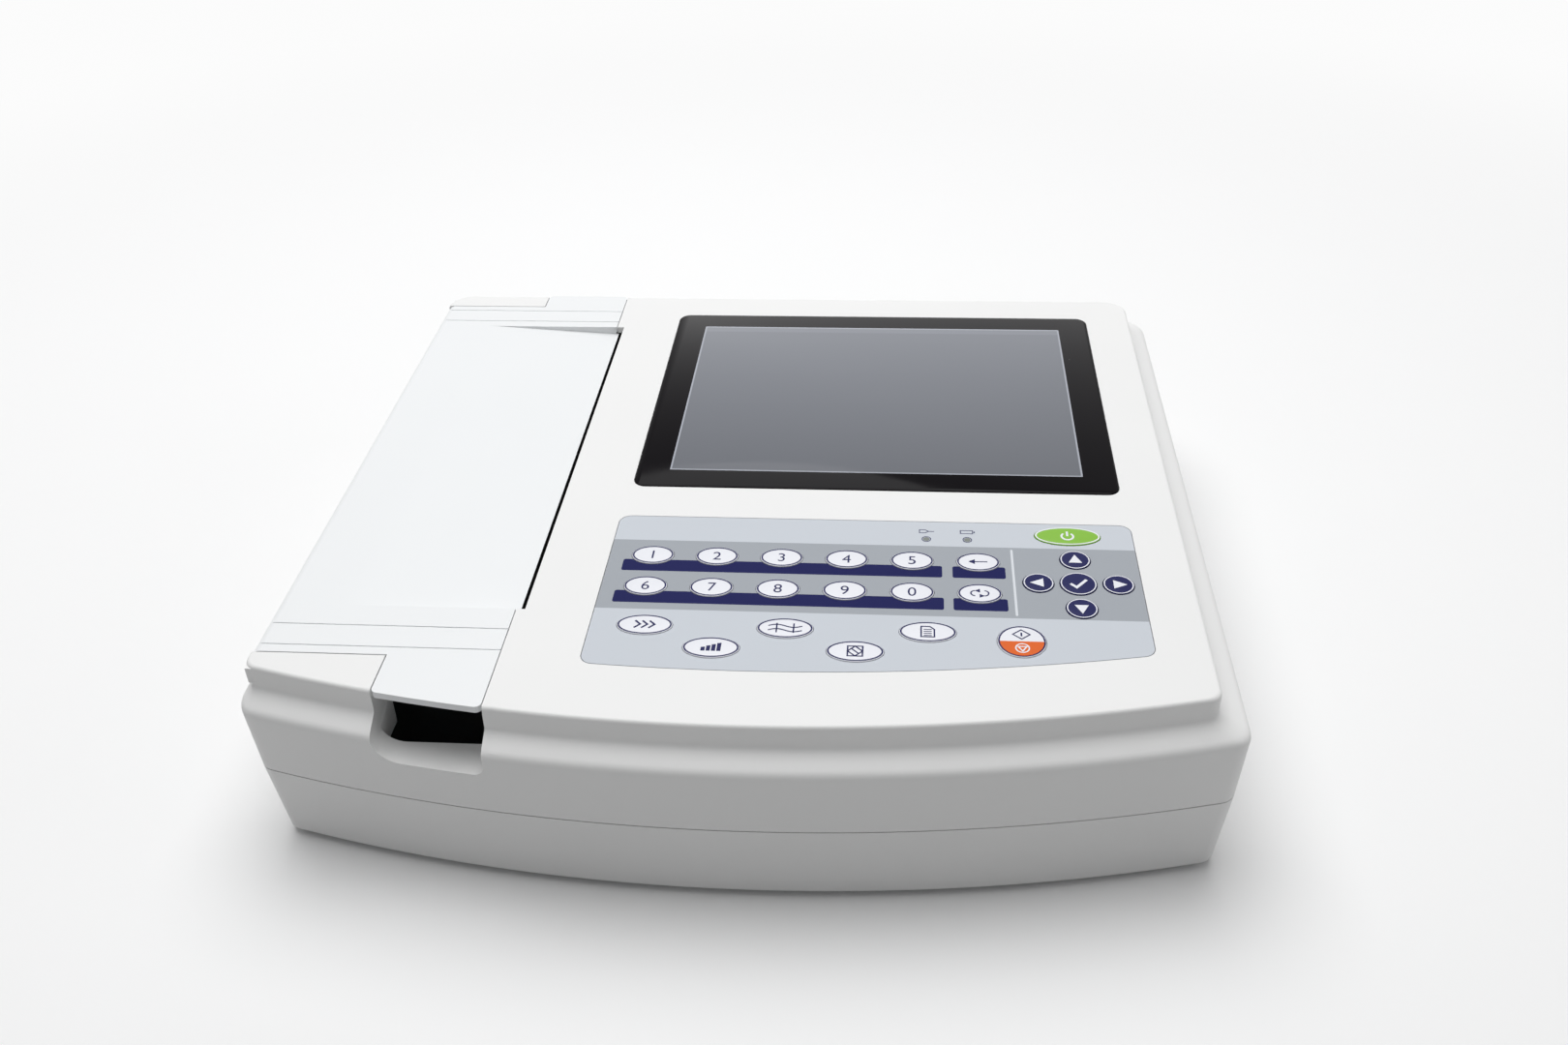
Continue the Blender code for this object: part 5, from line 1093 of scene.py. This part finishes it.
ARROWS = {"key_right": 0.0, "key_up": math.pi / 2, "key_left": math.pi, "key_down": -math.pi / 2}
KEY_NAVY = tuple(ARROWS) + ("key_ok",)


def make_keys():
    """Each key: a moulded oval with a rounded rim, a printed ring and its sign."""
    for name, (x, v, width, height) in key_shapes().items():
        rim = 0.28
        levels = [(KEY_FLANGE, -3.0), (KEY_FLANGE, -1.25), (0.0, -1.25)]
        for i in range(5):
            turn = math.pi / 2 * i / 4
            levels.append((-rim * (1 - math.cos(turn)), KEY_TOP - rim * (1 - math.sin(turn))))
        rings = [[(a, b, w) for a, b in oval(x, v, width, height, grow, 64)] for grow, w in levels]
        key = loft(name + "_cap", rings, DECK)
        ink = Print(KEY_TOP + 0.015)
        body, ring = FINISH["key"], FINISH["navy"]
        if name in KEY_NAVY:
            body, ring = FINISH["navy"], FINISH["key"]
        elif name == "key_power":
            body, ring = FINISH["green"], FINISH["key"]
        if name == "key_start_stop":
            lower = arc((x, v), width / 2 - 0.75, math.pi, 2 * math.pi, 32)
            ink.patch(lower, 2)
            raised = Print(KEY_TOP + 0.03)
            diamond = [(x, v + 6.2), (x + 3.0, v + 3.7), (x, v + 1.2), (x - 3.0, v + 3.7)]
            raised.stroke(diamond, 0.5, 1, True)
            raised.stroke([(x, v + 4.7), (x, v + 2.7)], 0.6, 1)
            raised.stroke(circle(x, v - 3.6, 2.3, 28), 0.5, 0, True)
            raised.stroke([(x - 1.5, v - 2.8), (x + 1.5, v - 2.8), (x, v - 5.2)], 0.5, 0, True)
            raised.add_to(key.data)
        else:
            key_symbol(ink, name, x, v, 1, 1)
        outer, width_of_ring = (-0.25, 0.6) if name not in KEY_NAVY else (-0.25, 0.42)
        ink.stroke(oval(x, v, width, height, outer - width_of_ring / 2, 64), width_of_ring, 1, True)
        ink.add_to(key.data)
        fit(key, name, [body, ring, FINISH["orange"]], name, name)


def make_overlay():
    """The film over the keypad, with a hole for each key, two lamps and their signs."""
    holes = [oval(x, v, width, height, 0.25) for x, v, width, height in key_shapes().values()]
    film = prism("keypad_film", [overlay_outline(0.0)] + holes, -0.9, 0.0, DECK)
    ink = Print(0.02)
    first, second, lamp_v, sign_v = CONSOLE_X + 20.9, CONSOLE_X + 36.4, -107.3, -102.3
    for x in (first, second):
        ink.patch(circle(x, lamp_v, 1.25, 24), 1)
        ink.stroke(circle(x, lamp_v, 1.6, 28), 0.35, 2, True)
    plug = [(first - 2.6, sign_v - 1.0), (first - 0.4, sign_v - 1.0), (first + 0.8, sign_v),
            (first - 0.4, sign_v + 1.0),
            (first - 2.6, sign_v + 1.0)]
    ink.stroke(plug, 0.35, 2, True)
    ink.stroke([(first + 0.8, sign_v), (first + 3.0, sign_v)], 0.35, 2)
    cell = [(second - 2.5, sign_v - 1.0), (second + 2.1, sign_v - 1.0), (second + 2.1, sign_v + 1.0),
            (second - 2.5, sign_v + 1.0)]
    ink.stroke(cell, 0.35, 2, True)
    ink.stroke([(second + 2.7, sign_v - 0.5), (second + 2.7, sign_v + 0.5)], 0.5, 2)
    ink.add_to(film.data)
    fit(film, "case", [FINISH["film"], FINISH["lamp_off"], FINISH["navy"]], "keypad_overlay",
        "keypad_overlay")


def make_screen(settings):
    half = (GLASS_HIGH.x - GLASS_LOW.x) / 2
    rings = []
    chamfer = 0.35
    for grow, w in ((0.0, GLASS_MIDDLE_W - 0.9), (0.0, GLASS_MIDDLE_W + 0.9 - chamfer), (-chamfer * 0.3,
                    GLASS_MIDDLE_W + 0.9 - chamfer * 0.3), (-chamfer, GLASS_MIDDLE_W + 0.9)):
        outline = rounded(CONSOLE_X - half - grow, CONSOLE_X + half + grow, -GLASS_HALF_HEIGHT - grow,
                          GLASS_HALF_HEIGHT + grow, settings.glass_corner + grow, 10)
        rings.append([(x, v, w) for x, v in outline])
    glass = loft("screen_glass", rings, DECK)
    fit(glass, "case", FINISH["glass"], "touch_glass", "touch_glass")
    paint("lcd_module", FINISH["lcd"])


# ---- printer ---------------------------------------------------------------------------------------------
def make_printer_works():
    """What shows under the open lid: tub, roll, spool, platen, gears, motor and head."""
    for node, finish in (("printer_frame", "works"), ("paper_roll", "paper"), ("paper_spool", "nylon"),
                         ("platen_roller", "rubber"), ("platen_shaft", "steel"), ("platen_gear", "nylon"),
                         ("idler_gear", "nylon"), ("motor_pinion", "brass"), ("stepper_motor", "plate"),
                         ("print_head", "plate"), ("lid_hinge_pin", "steel")):
        paint(node, FINISH[finish])
    for node in ("paper_roll", "platen_roller", "paper_spool", "platen_shaft", "stepper_motor"):
        frame["nodes"][node].data.shade_smooth()
        frame["nodes"][node].data.set_sharp_from_angle(angle=math.radians(35))


def make_paper_web():
    """The paper's free end, from the top of the roll over to the platen."""
    low, high = node_box("paper_roll")
    joint = on_deck(Vector(JOINTS["roll_spin"]["pos_m"]) / MM)
    radius = 22.5
    path = arc((joint.x, joint.z), radius + 0.15, math.radians(140), math.radians(35), 14)
    end = (PLATEN_X - 6.2, PLATEN_W - 5.6)
    start = path[-1]
    for i in range(1, 9):
        t = i / 8
        sag = 1.5 * math.sin(math.pi * t)
        path.append((start[0] + (end[0] - start[0]) * t, start[1] + (end[1] - start[1]) * t + sag))
    bm = bmesh.new()
    half = (high.y - low.y) / 2 - 1.0
    rows = [[bm.verts.new((x, PAPER_V + side * half, w)) for side in (-1, 1)] for x, w in path]
    for a, b in zip(rows, rows[1:]):
        bm.faces.new((a[0], a[1], b[1], b[0]))
    web = solid("paper_web", mesh_from("paper_web", bm), DECK)
    thickness = web.modifiers.new("paper thickness", "SOLIDIFY")
    thickness.thickness = 0.08 * MM
    thickness.offset = 0.0
    fit(web, "case", FINISH["paper"], "paper_roll")


def make_electronics():
    for node, finish in (("main_board", "board"), ("key_board", "board"), ("power_supply", "plate"),
                         ("battery_pack", "battery")):
        paint(node, FINISH[finish])
    low, high = node_box("battery_door")
    door = prism("battery_cover", [rounded(low.x, high.x, low.y, high.y, 1.6, 5)], low.z, high.z)
    grips = [box("grip", (low.x + 12 + i * 3.0, low.y + 8, low.z - 1),
                 (low.x + 13.4 + i * 3.0, low.y + 26, low.z + 0.6))
             for i in range(5)]
    carve(door, cut=grips)
    soften(door, 0.3)
    fit(door, "case", FINISH["shell"], "battery_door", "battery_door")


# ---- sockets, switch, feet and screws ----------------------------------------------------------------------
def make_patient_socket():
    """A fifteen-way socket: a plated shell round a dark block with two rows of holes."""
    low, high = node_box("ecg_socket")
    middle_y = (low.y + high.y) / 2
    face = high.x
    wide, narrow, half_height = 12.4, 11.0, 4.4
    shape = [(middle_y - wide, PORT_Z + half_height), (middle_y - narrow, PORT_Z - half_height),
             (middle_y + narrow, PORT_Z - half_height), (middle_y + wide, PORT_Z + half_height)]
    shell = prism("patient_socket", [shape], low.x, face, CASE, "X")
    inner = [(middle_y + (y - middle_y) * 0.93, PORT_Z + (z - PORT_Z) * 0.84) for y, z in shape]
    carve(shell, cut=[prism("mouth", [inner], face - 5.0, face + 3, CASE, "X")])
    plate = prism("socket_plate", [rounded(middle_y - 13.5, middle_y + 13.5, PORT_Z - 5.9, PORT_Z + 5.9,
                                           1.2)],
                  face - 4.4, face - 1.4, CASE, "X")
    carve(shell, joined=[plate])
    carve(shell, cut=[prism("mouth", [inner], face - 5.0, face + 3, CASE, "X")])
    soften(shell, 0.25, 2)
    fit(shell, "case", FINISH["plate"], "ecg_socket", "ecg_socket")
    core_shape = [(middle_y + (y - middle_y) * 0.91, PORT_Z + (z - PORT_Z) * 0.80) for y, z in shape]
    core = prism("socket_core", [core_shape], face - 9.0, face - 0.5, CASE, "X")
    holes = []
    for count, z in ((8, PORT_Z + 1.5), (7, PORT_Z - 1.5)):
        for i in range(count):
            y = middle_y + (i - (count - 1) / 2) * 2.77
            holes.append(cylinder("contact", 0.6, (face - 4, y, z), (face + 2, y, z), CASE, 16))
    carve(core, cut=holes)
    fit(core, "case", FINISH["black"], "ecg_socket")


def make_data_sockets():
    """USB and network sockets: folded plated shells with their tongues and contacts."""
    low, high = node_box("usb_socket")
    shell = box("usb_shell", low, high)
    mouth = box("mouth", (low.x + 1.5, low.y + 0.5, low.z + 0.5), (high.x + 4, high.y - 0.5, high.z - 0.5))
    carve(shell, cut=[mouth])
    soften(shell, 0.3, 2)
    fit(shell, "case", FINISH["plate"], "usb_socket", "usb_socket")
    tongue = box("usb_tongue", (low.x + 1.0, low.y + 1.4, high.z - 2.6),
                 (high.x - 1.6, high.y - 1.4, high.z - 0.9))
    soften(tongue, 0.2, 2)
    fit(tongue, "case", FINISH["black"], "usb_socket")
    for i in range(4):
        y = (low.y + high.y) / 2 + (i - 1.5) * 2.4
        contact = box(f"usb_contact_{i}", (low.x + 2, y - 0.5, high.z - 2.68),
                      (high.x - 2.2, y + 0.5, high.z - 2.5))
        fit(contact, "case", FINISH["gold"], "usb_socket")
    low, high = node_box("lan_socket")
    middle = (low.y + high.y) / 2
    shell = box("network_shell", low, high)
    carve(shell, cut=[box("mouth", (low.x + 2, low.y + 0.7, low.z + 0.7),
                          (high.x + 4, high.y - 0.7, high.z - 0.7))])
    soften(shell, 0.3, 2)
    fit(shell, "case", FINISH["plate"], "lan_socket", "lan_socket")
    liner = box("network_liner", (low.x + 2.2, low.y + 0.75, low.z + 0.75),
                (high.x - 0.5, high.y - 0.75, high.z - 0.75))
    wells = [box("well", (high.x - 15, middle - 5.9, low.z + 3.8), (high.x + 3, middle + 5.9, high.z - 1.3)),
             box("latch", (high.x - 15, middle - 3.0, low.z + 1.8), (high.x + 3, middle + 3.0, low.z + 5))]
    carve(liner, cut=wells)
    soften(liner, 0.2, 2)
    fit(liner, "case", FINISH["black"], "lan_socket")
    for i in range(8):
        y = middle + (i - 3.5) * 1.05
        contact = prism(f"network_contact_{i}", [[(high.x - 12, high.z - 1.4), (high.x - 3, high.z - 1.4),
                                                  (high.x - 9, high.z - 4.6)]], y - 0.2, y + 0.2, CASE, "Y")
        fit(contact, "case", FINISH["gold"], "lan_socket")


def make_mains_sockets():
    """The three-pin inlet, the rocker switch in its bezel, and the earthing stud with its nut."""
    low, high = port_body("mains_inlet")
    middle_x = (low.x + high.x) / 2
    body = prism("inlet_body", [rounded(low.x, high.x, low.z, high.z, 2.0)], low.y, high.y, CASE, "Y")
    corner = [(middle_x - 12, PORT_Z - 8), (middle_x + 12, PORT_Z - 8), (middle_x + 12, PORT_Z + 3),
              (middle_x + 7, PORT_Z + 8), (middle_x - 7, PORT_Z + 8), (middle_x - 12, PORT_Z + 3)]
    carve(body, cut=[prism("mouth", [corner], high.y - 15.8, high.y + 3, CASE, "Y")])
    soften(body, 0.4)
    fit(body, "case", FINISH["black"], "mains_inlet", "mains_inlet")
    for name, x, z in (("live", -7.0, -2.0), ("neutral", 7.0, -2.0), ("earth", 0.0, 2.0)):
        pin = box(f"{name}_pin", (middle_x + x - 1, high.y - 16.5, PORT_Z + z - 2),
                  (middle_x + x + 1, high.y - 4.8,
                                                                                     PORT_Z + z + 2))
        soften(pin, 0.35)
        fit(pin, "case", FINISH["plate"], "mains_inlet")
    low, high = node_box("mains_rocker")
    wall_y = JOINTS["rocker_tilt"]["pos_m"][1] / MM + 5.0
    frame_outline = rounded(low.x - 0.25, high.x + 0.25, low.z - 1.3, high.z + 1.3, 1.0)
    hole = rounded(low.x - 0.1, high.x + 0.1, low.z - 1.0, high.z + 1.0, 0.6)
    bezel = prism("rocker_bezel", [frame_outline, hole], wall_y - 8.0, wall_y + 0.8, CASE, "Y")
    soften(bezel, 0.12, 2)
    fit(bezel, "case", FINISH["black"], "mains_rocker")
    middle_x = (low.x + high.x) / 2
    half = (high.z - low.z) / 2
    side = [(wall_y - 2.2, PORT_Z - half), (wall_y + 1.2, PORT_Z - half + 0.4), (wall_y + 0.35, PORT_Z - 3.5),
            (wall_y - 0.1, PORT_Z), (wall_y - 0.05, PORT_Z + 3.5), (wall_y + 0.1, PORT_Z + half - 0.4),
            (wall_y - 2.2, PORT_Z + half), (wall_y - 9.0, PORT_Z + 4.0), (wall_y - 9.0, PORT_Z - 4.0)]
    rocker = prism("rocker_key", [side], low.x, high.x, CASE, "X")
    soften(rocker, 0.3)
    fit(rocker, "rocker", FINISH["black"], "mains_rocker", "mains_rocker")
    low, high = node_box("ground_stud")
    middle = (low + high) / 2
    stud = cylinder("earth_stud", 2.6, (middle.x, low.y, middle.z), (middle.x, high.y, middle.z), CASE, 32)
    collar = cylinder("collar", 3.0, (middle.x, low.y + 3, middle.z), (middle.x, high.y - 1.0, middle.z),
                      CASE, 32)
    nut = cylinder("nut", 5.0, (middle.x, low.y + 1.2, middle.z), (middle.x, low.y + 4.0, middle.z), CASE, 6)
    carve(stud, joined=[collar, nut])
    soften(stud, 0.2, 2)
    fit(stud, "case", FINISH["brass"], "ground_stud", "ground_stud")


def make_feet_and_screws():
    for name in [node for node in frame["nodes"] if node.startswith("foot_")]:
        low, high = node_box(name)
        middle = (low + high) / 2
        foot = cylinder(name + "_pad", 8.2, (middle.x, middle.y, 0), (middle.x, middle.y, 1.2), CASE, 64, 9.0)
        rim = cylinder("rim", 9.0, (middle.x, middle.y, 1.15), (middle.x, middle.y, high.z), CASE, 64)
        dish = cylinder("dish", 5.0, (middle.x, middle.y, -1), (middle.x, middle.y, 0.4), CASE, 48)
        carve(foot, joined=[rim], cut=[dish])
        soften(foot, 0.3)
        fit(foot, "case", FINISH["rubber"], name, name)
    for name in [node for node in frame["nodes"] if node.startswith("case_screw")]:
        paint(name, FINISH["steel"])


# ---- stage -----------------------------------------------------------------------------------------------
def make_stage(settings):
    bm = bmesh.new()
    bmesh.ops.create_circle(bm, cap_ends=True, segments=96, radius=30000)
    floor = solid("floor", mesh_from("floor", bm))
    material, tree, shader, place = blank_material("floor")
    path = tree.nodes.new("ShaderNodeLightPath")
    seen = math_node(tree, "MAXIMUM", path.outputs["Is Camera Ray"], path.outputs["Is Glossy Ray"])
    bounced = tuple(c * settings.bounce for c in settings.floor)
    surface = group_node(tree, "Handled surface", Vector=place, Mottle=0.01, Roughness=0.8, Smudge=0.05)
    tree.links.new(mix_colour(tree, seen, bounced, settings.floor), surface.inputs["Color"])
    tree.links.new(surface.outputs["Color"], shader.inputs["Base Color"])
    tree.links.new(surface.outputs["Roughness"], shader.inputs["Roughness"])
    shader.inputs["Specular IOR Level"].default_value = 0.2
    parts = tree.nodes.new("ShaderNodeSeparateXYZ")
    tree.links.new(place, parts.inputs["Vector"])
    squares = [math_node(tree, "MULTIPLY", parts.outputs[axis], parts.outputs[axis]) for axis in ("X", "Y")]
    away = math_node(tree, "SQRT", math_node(tree, "ADD", *squares))
    fade = tree.nodes.new("ShaderNodeMapRange")
    fade.interpolation_type = "SMOOTHSTEP"
    fade.inputs["From Min"].default_value = settings.shadow_reach
    fade.inputs["From Max"].default_value = settings.shadow_reach * 2.6
    tree.links.new(away, fade.inputs["Value"])
    white = tree.nodes.new("ShaderNodeEmission")
    white.inputs["Color"].default_value = (0.97, 0.97, 0.97, 1)
    far = tree.nodes.new("ShaderNodeMixShader")
    tree.links.new(math_node(tree, "MULTIPLY", seen, fade.outputs["Result"]), far.inputs["Fac"])
    tree.links.new(shader.outputs["BSDF"], far.inputs[1])
    tree.links.new(white.outputs["Emission"], far.inputs[2])
    under = tree.nodes.new("ShaderNodeMixShader")
    tree.links.new(tree.nodes.new("ShaderNodeNewGeometry").outputs["Backfacing"], under.inputs["Fac"])
    tree.links.new(far.outputs["Shader"], under.inputs[1])
    tree.links.new(tree.nodes.new("ShaderNodeBsdfTransparent").outputs["BSDF"], under.inputs[2])
    tree.links.new(under.outputs["Shader"], tree.nodes["Material Output"].inputs["Surface"])
    floor.data.materials.append(material)
    floor.location.z = -0.0001

    world = bpy.data.worlds.new("studio")
    world.use_nodes = True
    nodes, links = world.node_tree.nodes, world.node_tree.links
    ambient = nodes["Background"]
    ambient.inputs["Color"].default_value = (0.98, 0.99, 1.0, 1)
    ambient.inputs["Strength"].default_value = settings.ambient
    shown = nodes.new("ShaderNodeBackground")
    shown.inputs["Color"].default_value = (1, 1, 1, 1)
    path = nodes.new("ShaderNodeLightPath")
    seen = math_node(world.node_tree, "MAXIMUM", path.outputs["Is Camera Ray"], path.outputs["Is Glossy Ray"])
    seen = math_node(world.node_tree, "MAXIMUM", seen, path.outputs["Is Transmission Ray"])
    mix = nodes.new("ShaderNodeMixShader")
    links.new(seen, mix.inputs["Fac"])
    links.new(ambient.outputs["Background"], mix.inputs[1])
    links.new(shown.outputs["Background"], mix.inputs[2])
    links.new(mix.outputs["Shader"], nodes["World Output"].inputs["Surface"])
    bpy.context.scene.world = world

    target = Vector((0, 0, 0.05))
    for name, place, size, watts in (("key lamp", (-0.15, 0.42, 1.75), 1.9, settings.key_watts),
                                     ("side lamp", (1.6, -0.1, 0.75), 1.0, settings.side_watts)):
        lamp = bpy.data.lights.new(name, "AREA")
        lamp.shape = "DISK"
        lamp.size = size
        lamp.energy = watts
        holder = bpy.data.objects.new(name, lamp)
        bpy.context.scene.collection.objects.link(holder)
        holder.location = place
        holder.rotation_euler = (target - Vector(place)).to_track_quat("-Z", "Y").to_euler()

    camera = bpy.data.cameras.new("camera")
    camera.lens = settings.lens
    camera.sensor_width = 36.0
    camera.clip_start = 0.01
    holder = bpy.data.objects.new("camera", camera)
    bpy.context.scene.collection.objects.link(holder)
    holder.location = settings.camera_place
    holder.rotation_euler = settings.camera_turn
    bpy.context.scene.camera = holder
    bpy.context.scene.view_settings.view_transform = "Standard"


# ---- operators -------------------------------------------------------------------------------------------
class RECORDER_OT_finishes(bpy.types.Operator):
    """Make the finishes that every piece draws on"""

    bl_idname = "recorder.finishes"
    bl_label = "Finishes"

    def execute(self, context):
        scene = context.scene
        FINISH.update(make_finishes(scene.recorder_case, scene.recorder_console))
        return {"FINISHED"}


class RECORDER_OT_upper_case(bpy.types.Operator):
    """Make the upper case with its bowed front, finger notches and seats"""

    bl_idname = "recorder.upper_case"
    bl_label = "Upper case"

    def execute(self, context):
        make_upper_case(context.scene.recorder_case, context.scene.recorder_console)
        return {"FINISHED"}


class RECORDER_OT_lower_case(bpy.types.Operator):
    """Make the lower case with its port openings, vents and wells"""

    bl_idname = "recorder.lower_case"
    bl_label = "Lower case"

    def execute(self, context):
        make_lower_case(context.scene.recorder_case)
        return {"FINISHED"}


class RECORDER_OT_printer_lid(bpy.types.Operator):
    """Make the printer lid with its tabs, lines, barrel and lugs"""

    bl_idname = "recorder.printer_lid"
    bl_label = "Printer lid"

    def execute(self, context):
        make_printer_lid(context.scene.recorder_case)
        return {"FINISHED"}


class RECORDER_OT_screen(bpy.types.Operator):
    """Make the screen's glass and the module behind it"""

    bl_idname = "recorder.screen"
    bl_label = "Screen"

    def execute(self, context):
        make_screen(context.scene.recorder_console)
        return {"FINISHED"}


class RECORDER_OT_keypad(bpy.types.Operator):
    """Make the keypad's film and all its keys"""

    bl_idname = "recorder.keypad"
    bl_label = "Keypad"

    def execute(self, context):
        make_overlay()
        make_keys()
        return {"FINISHED"}


class RECORDER_OT_printer(bpy.types.Operator):
    """Finish the printer's works and lay its paper"""

    bl_idname = "recorder.printer"
    bl_label = "Printer"

    def execute(self, context):
        make_printer_works()
        make_paper_web()
        return {"FINISHED"}


class RECORDER_OT_electronics(bpy.types.Operator):
    """Finish the boards, the supply and the battery with its door"""

    bl_idname = "recorder.electronics"
    bl_label = "Electronics"

    def execute(self, context):
        make_electronics()
        return {"FINISHED"}


class RECORDER_OT_sockets(bpy.types.Operator):
    """Make the patient, data and mains sockets, the switch and the earthing stud"""

    bl_idname = "recorder.sockets"
    bl_label = "Sockets"

    def execute(self, context):
        make_patient_socket()
        make_data_sockets()
        make_mains_sockets()
        return {"FINISHED"}


class RECORDER_OT_feet(bpy.types.Operator):
    """Make the feet and finish the case screws"""

    bl_idname = "recorder.feet"
    bl_label = "Feet and screws"

    def execute(self, context):
        make_feet_and_screws()
        return {"FINISHED"}


class RECORDER_OT_stage(bpy.types.Operator):
    """Set up the floor, the light and the camera"""

    bl_idname = "recorder.stage"
    bl_label = "Stage"

    def execute(self, context):
        make_stage(context.scene.recorder_stage)
        return {"FINISHED"}


OPERATORS = (
    RECORDER_OT_finishes, RECORDER_OT_upper_case, RECORDER_OT_lower_case, RECORDER_OT_printer_lid,
    RECORDER_OT_screen, RECORDER_OT_keypad, RECORDER_OT_printer, RECORDER_OT_electronics, RECORDER_OT_sockets,
    RECORDER_OT_feet, RECORDER_OT_stage,
)


class RECORDER_PT_panel(bpy.types.Panel):
    """Lists the recorder's settings and the operators that make its pieces"""

    bl_idname = "RECORDER_PT_panel"
    bl_label = "ECG recorder"
    bl_space_type = "VIEW_3D"
    bl_region_type = "UI"
    bl_category = "Recorder"

    def draw(self, context):
        layout = self.layout
        for group in (context.scene.recorder_case, context.scene.recorder_console,
                      context.scene.recorder_stage):
            column = layout.column(align=True)
            for name in group.bl_rna.properties.keys():
                if name not in {"rna_type", "name"}:
                    column.prop(group, name)
        for operator in OPERATORS:
            layout.operator(operator.bl_idname)


SETTINGS = {"recorder_case": CaseSettings, "recorder_console": ConsoleSettings,
            "recorder_stage": StageSettings}


def register():
    for group in SETTINGS.values():
        bpy.utils.register_class(group)
    for name, group in SETTINGS.items():
        setattr(bpy.types.Scene, name, PointerProperty(type=group))
    for operator in OPERATORS:
        bpy.utils.register_class(operator)
    bpy.utils.register_class(RECORDER_PT_panel)


def unregister():
    bpy.utils.unregister_class(RECORDER_PT_panel)
    for operator in reversed(OPERATORS):
        bpy.utils.unregister_class(operator)
    for name, group in reversed(SETTINGS.items()):
        delattr(bpy.types.Scene, name)
        bpy.utils.unregister_class(group)


def main():
    register()
    for operator in OPERATORS:
        area, name = operator.bl_idname.split(".")
        getattr(getattr(bpy.ops, area), name)()


if __name__ == "__main__":
    main()
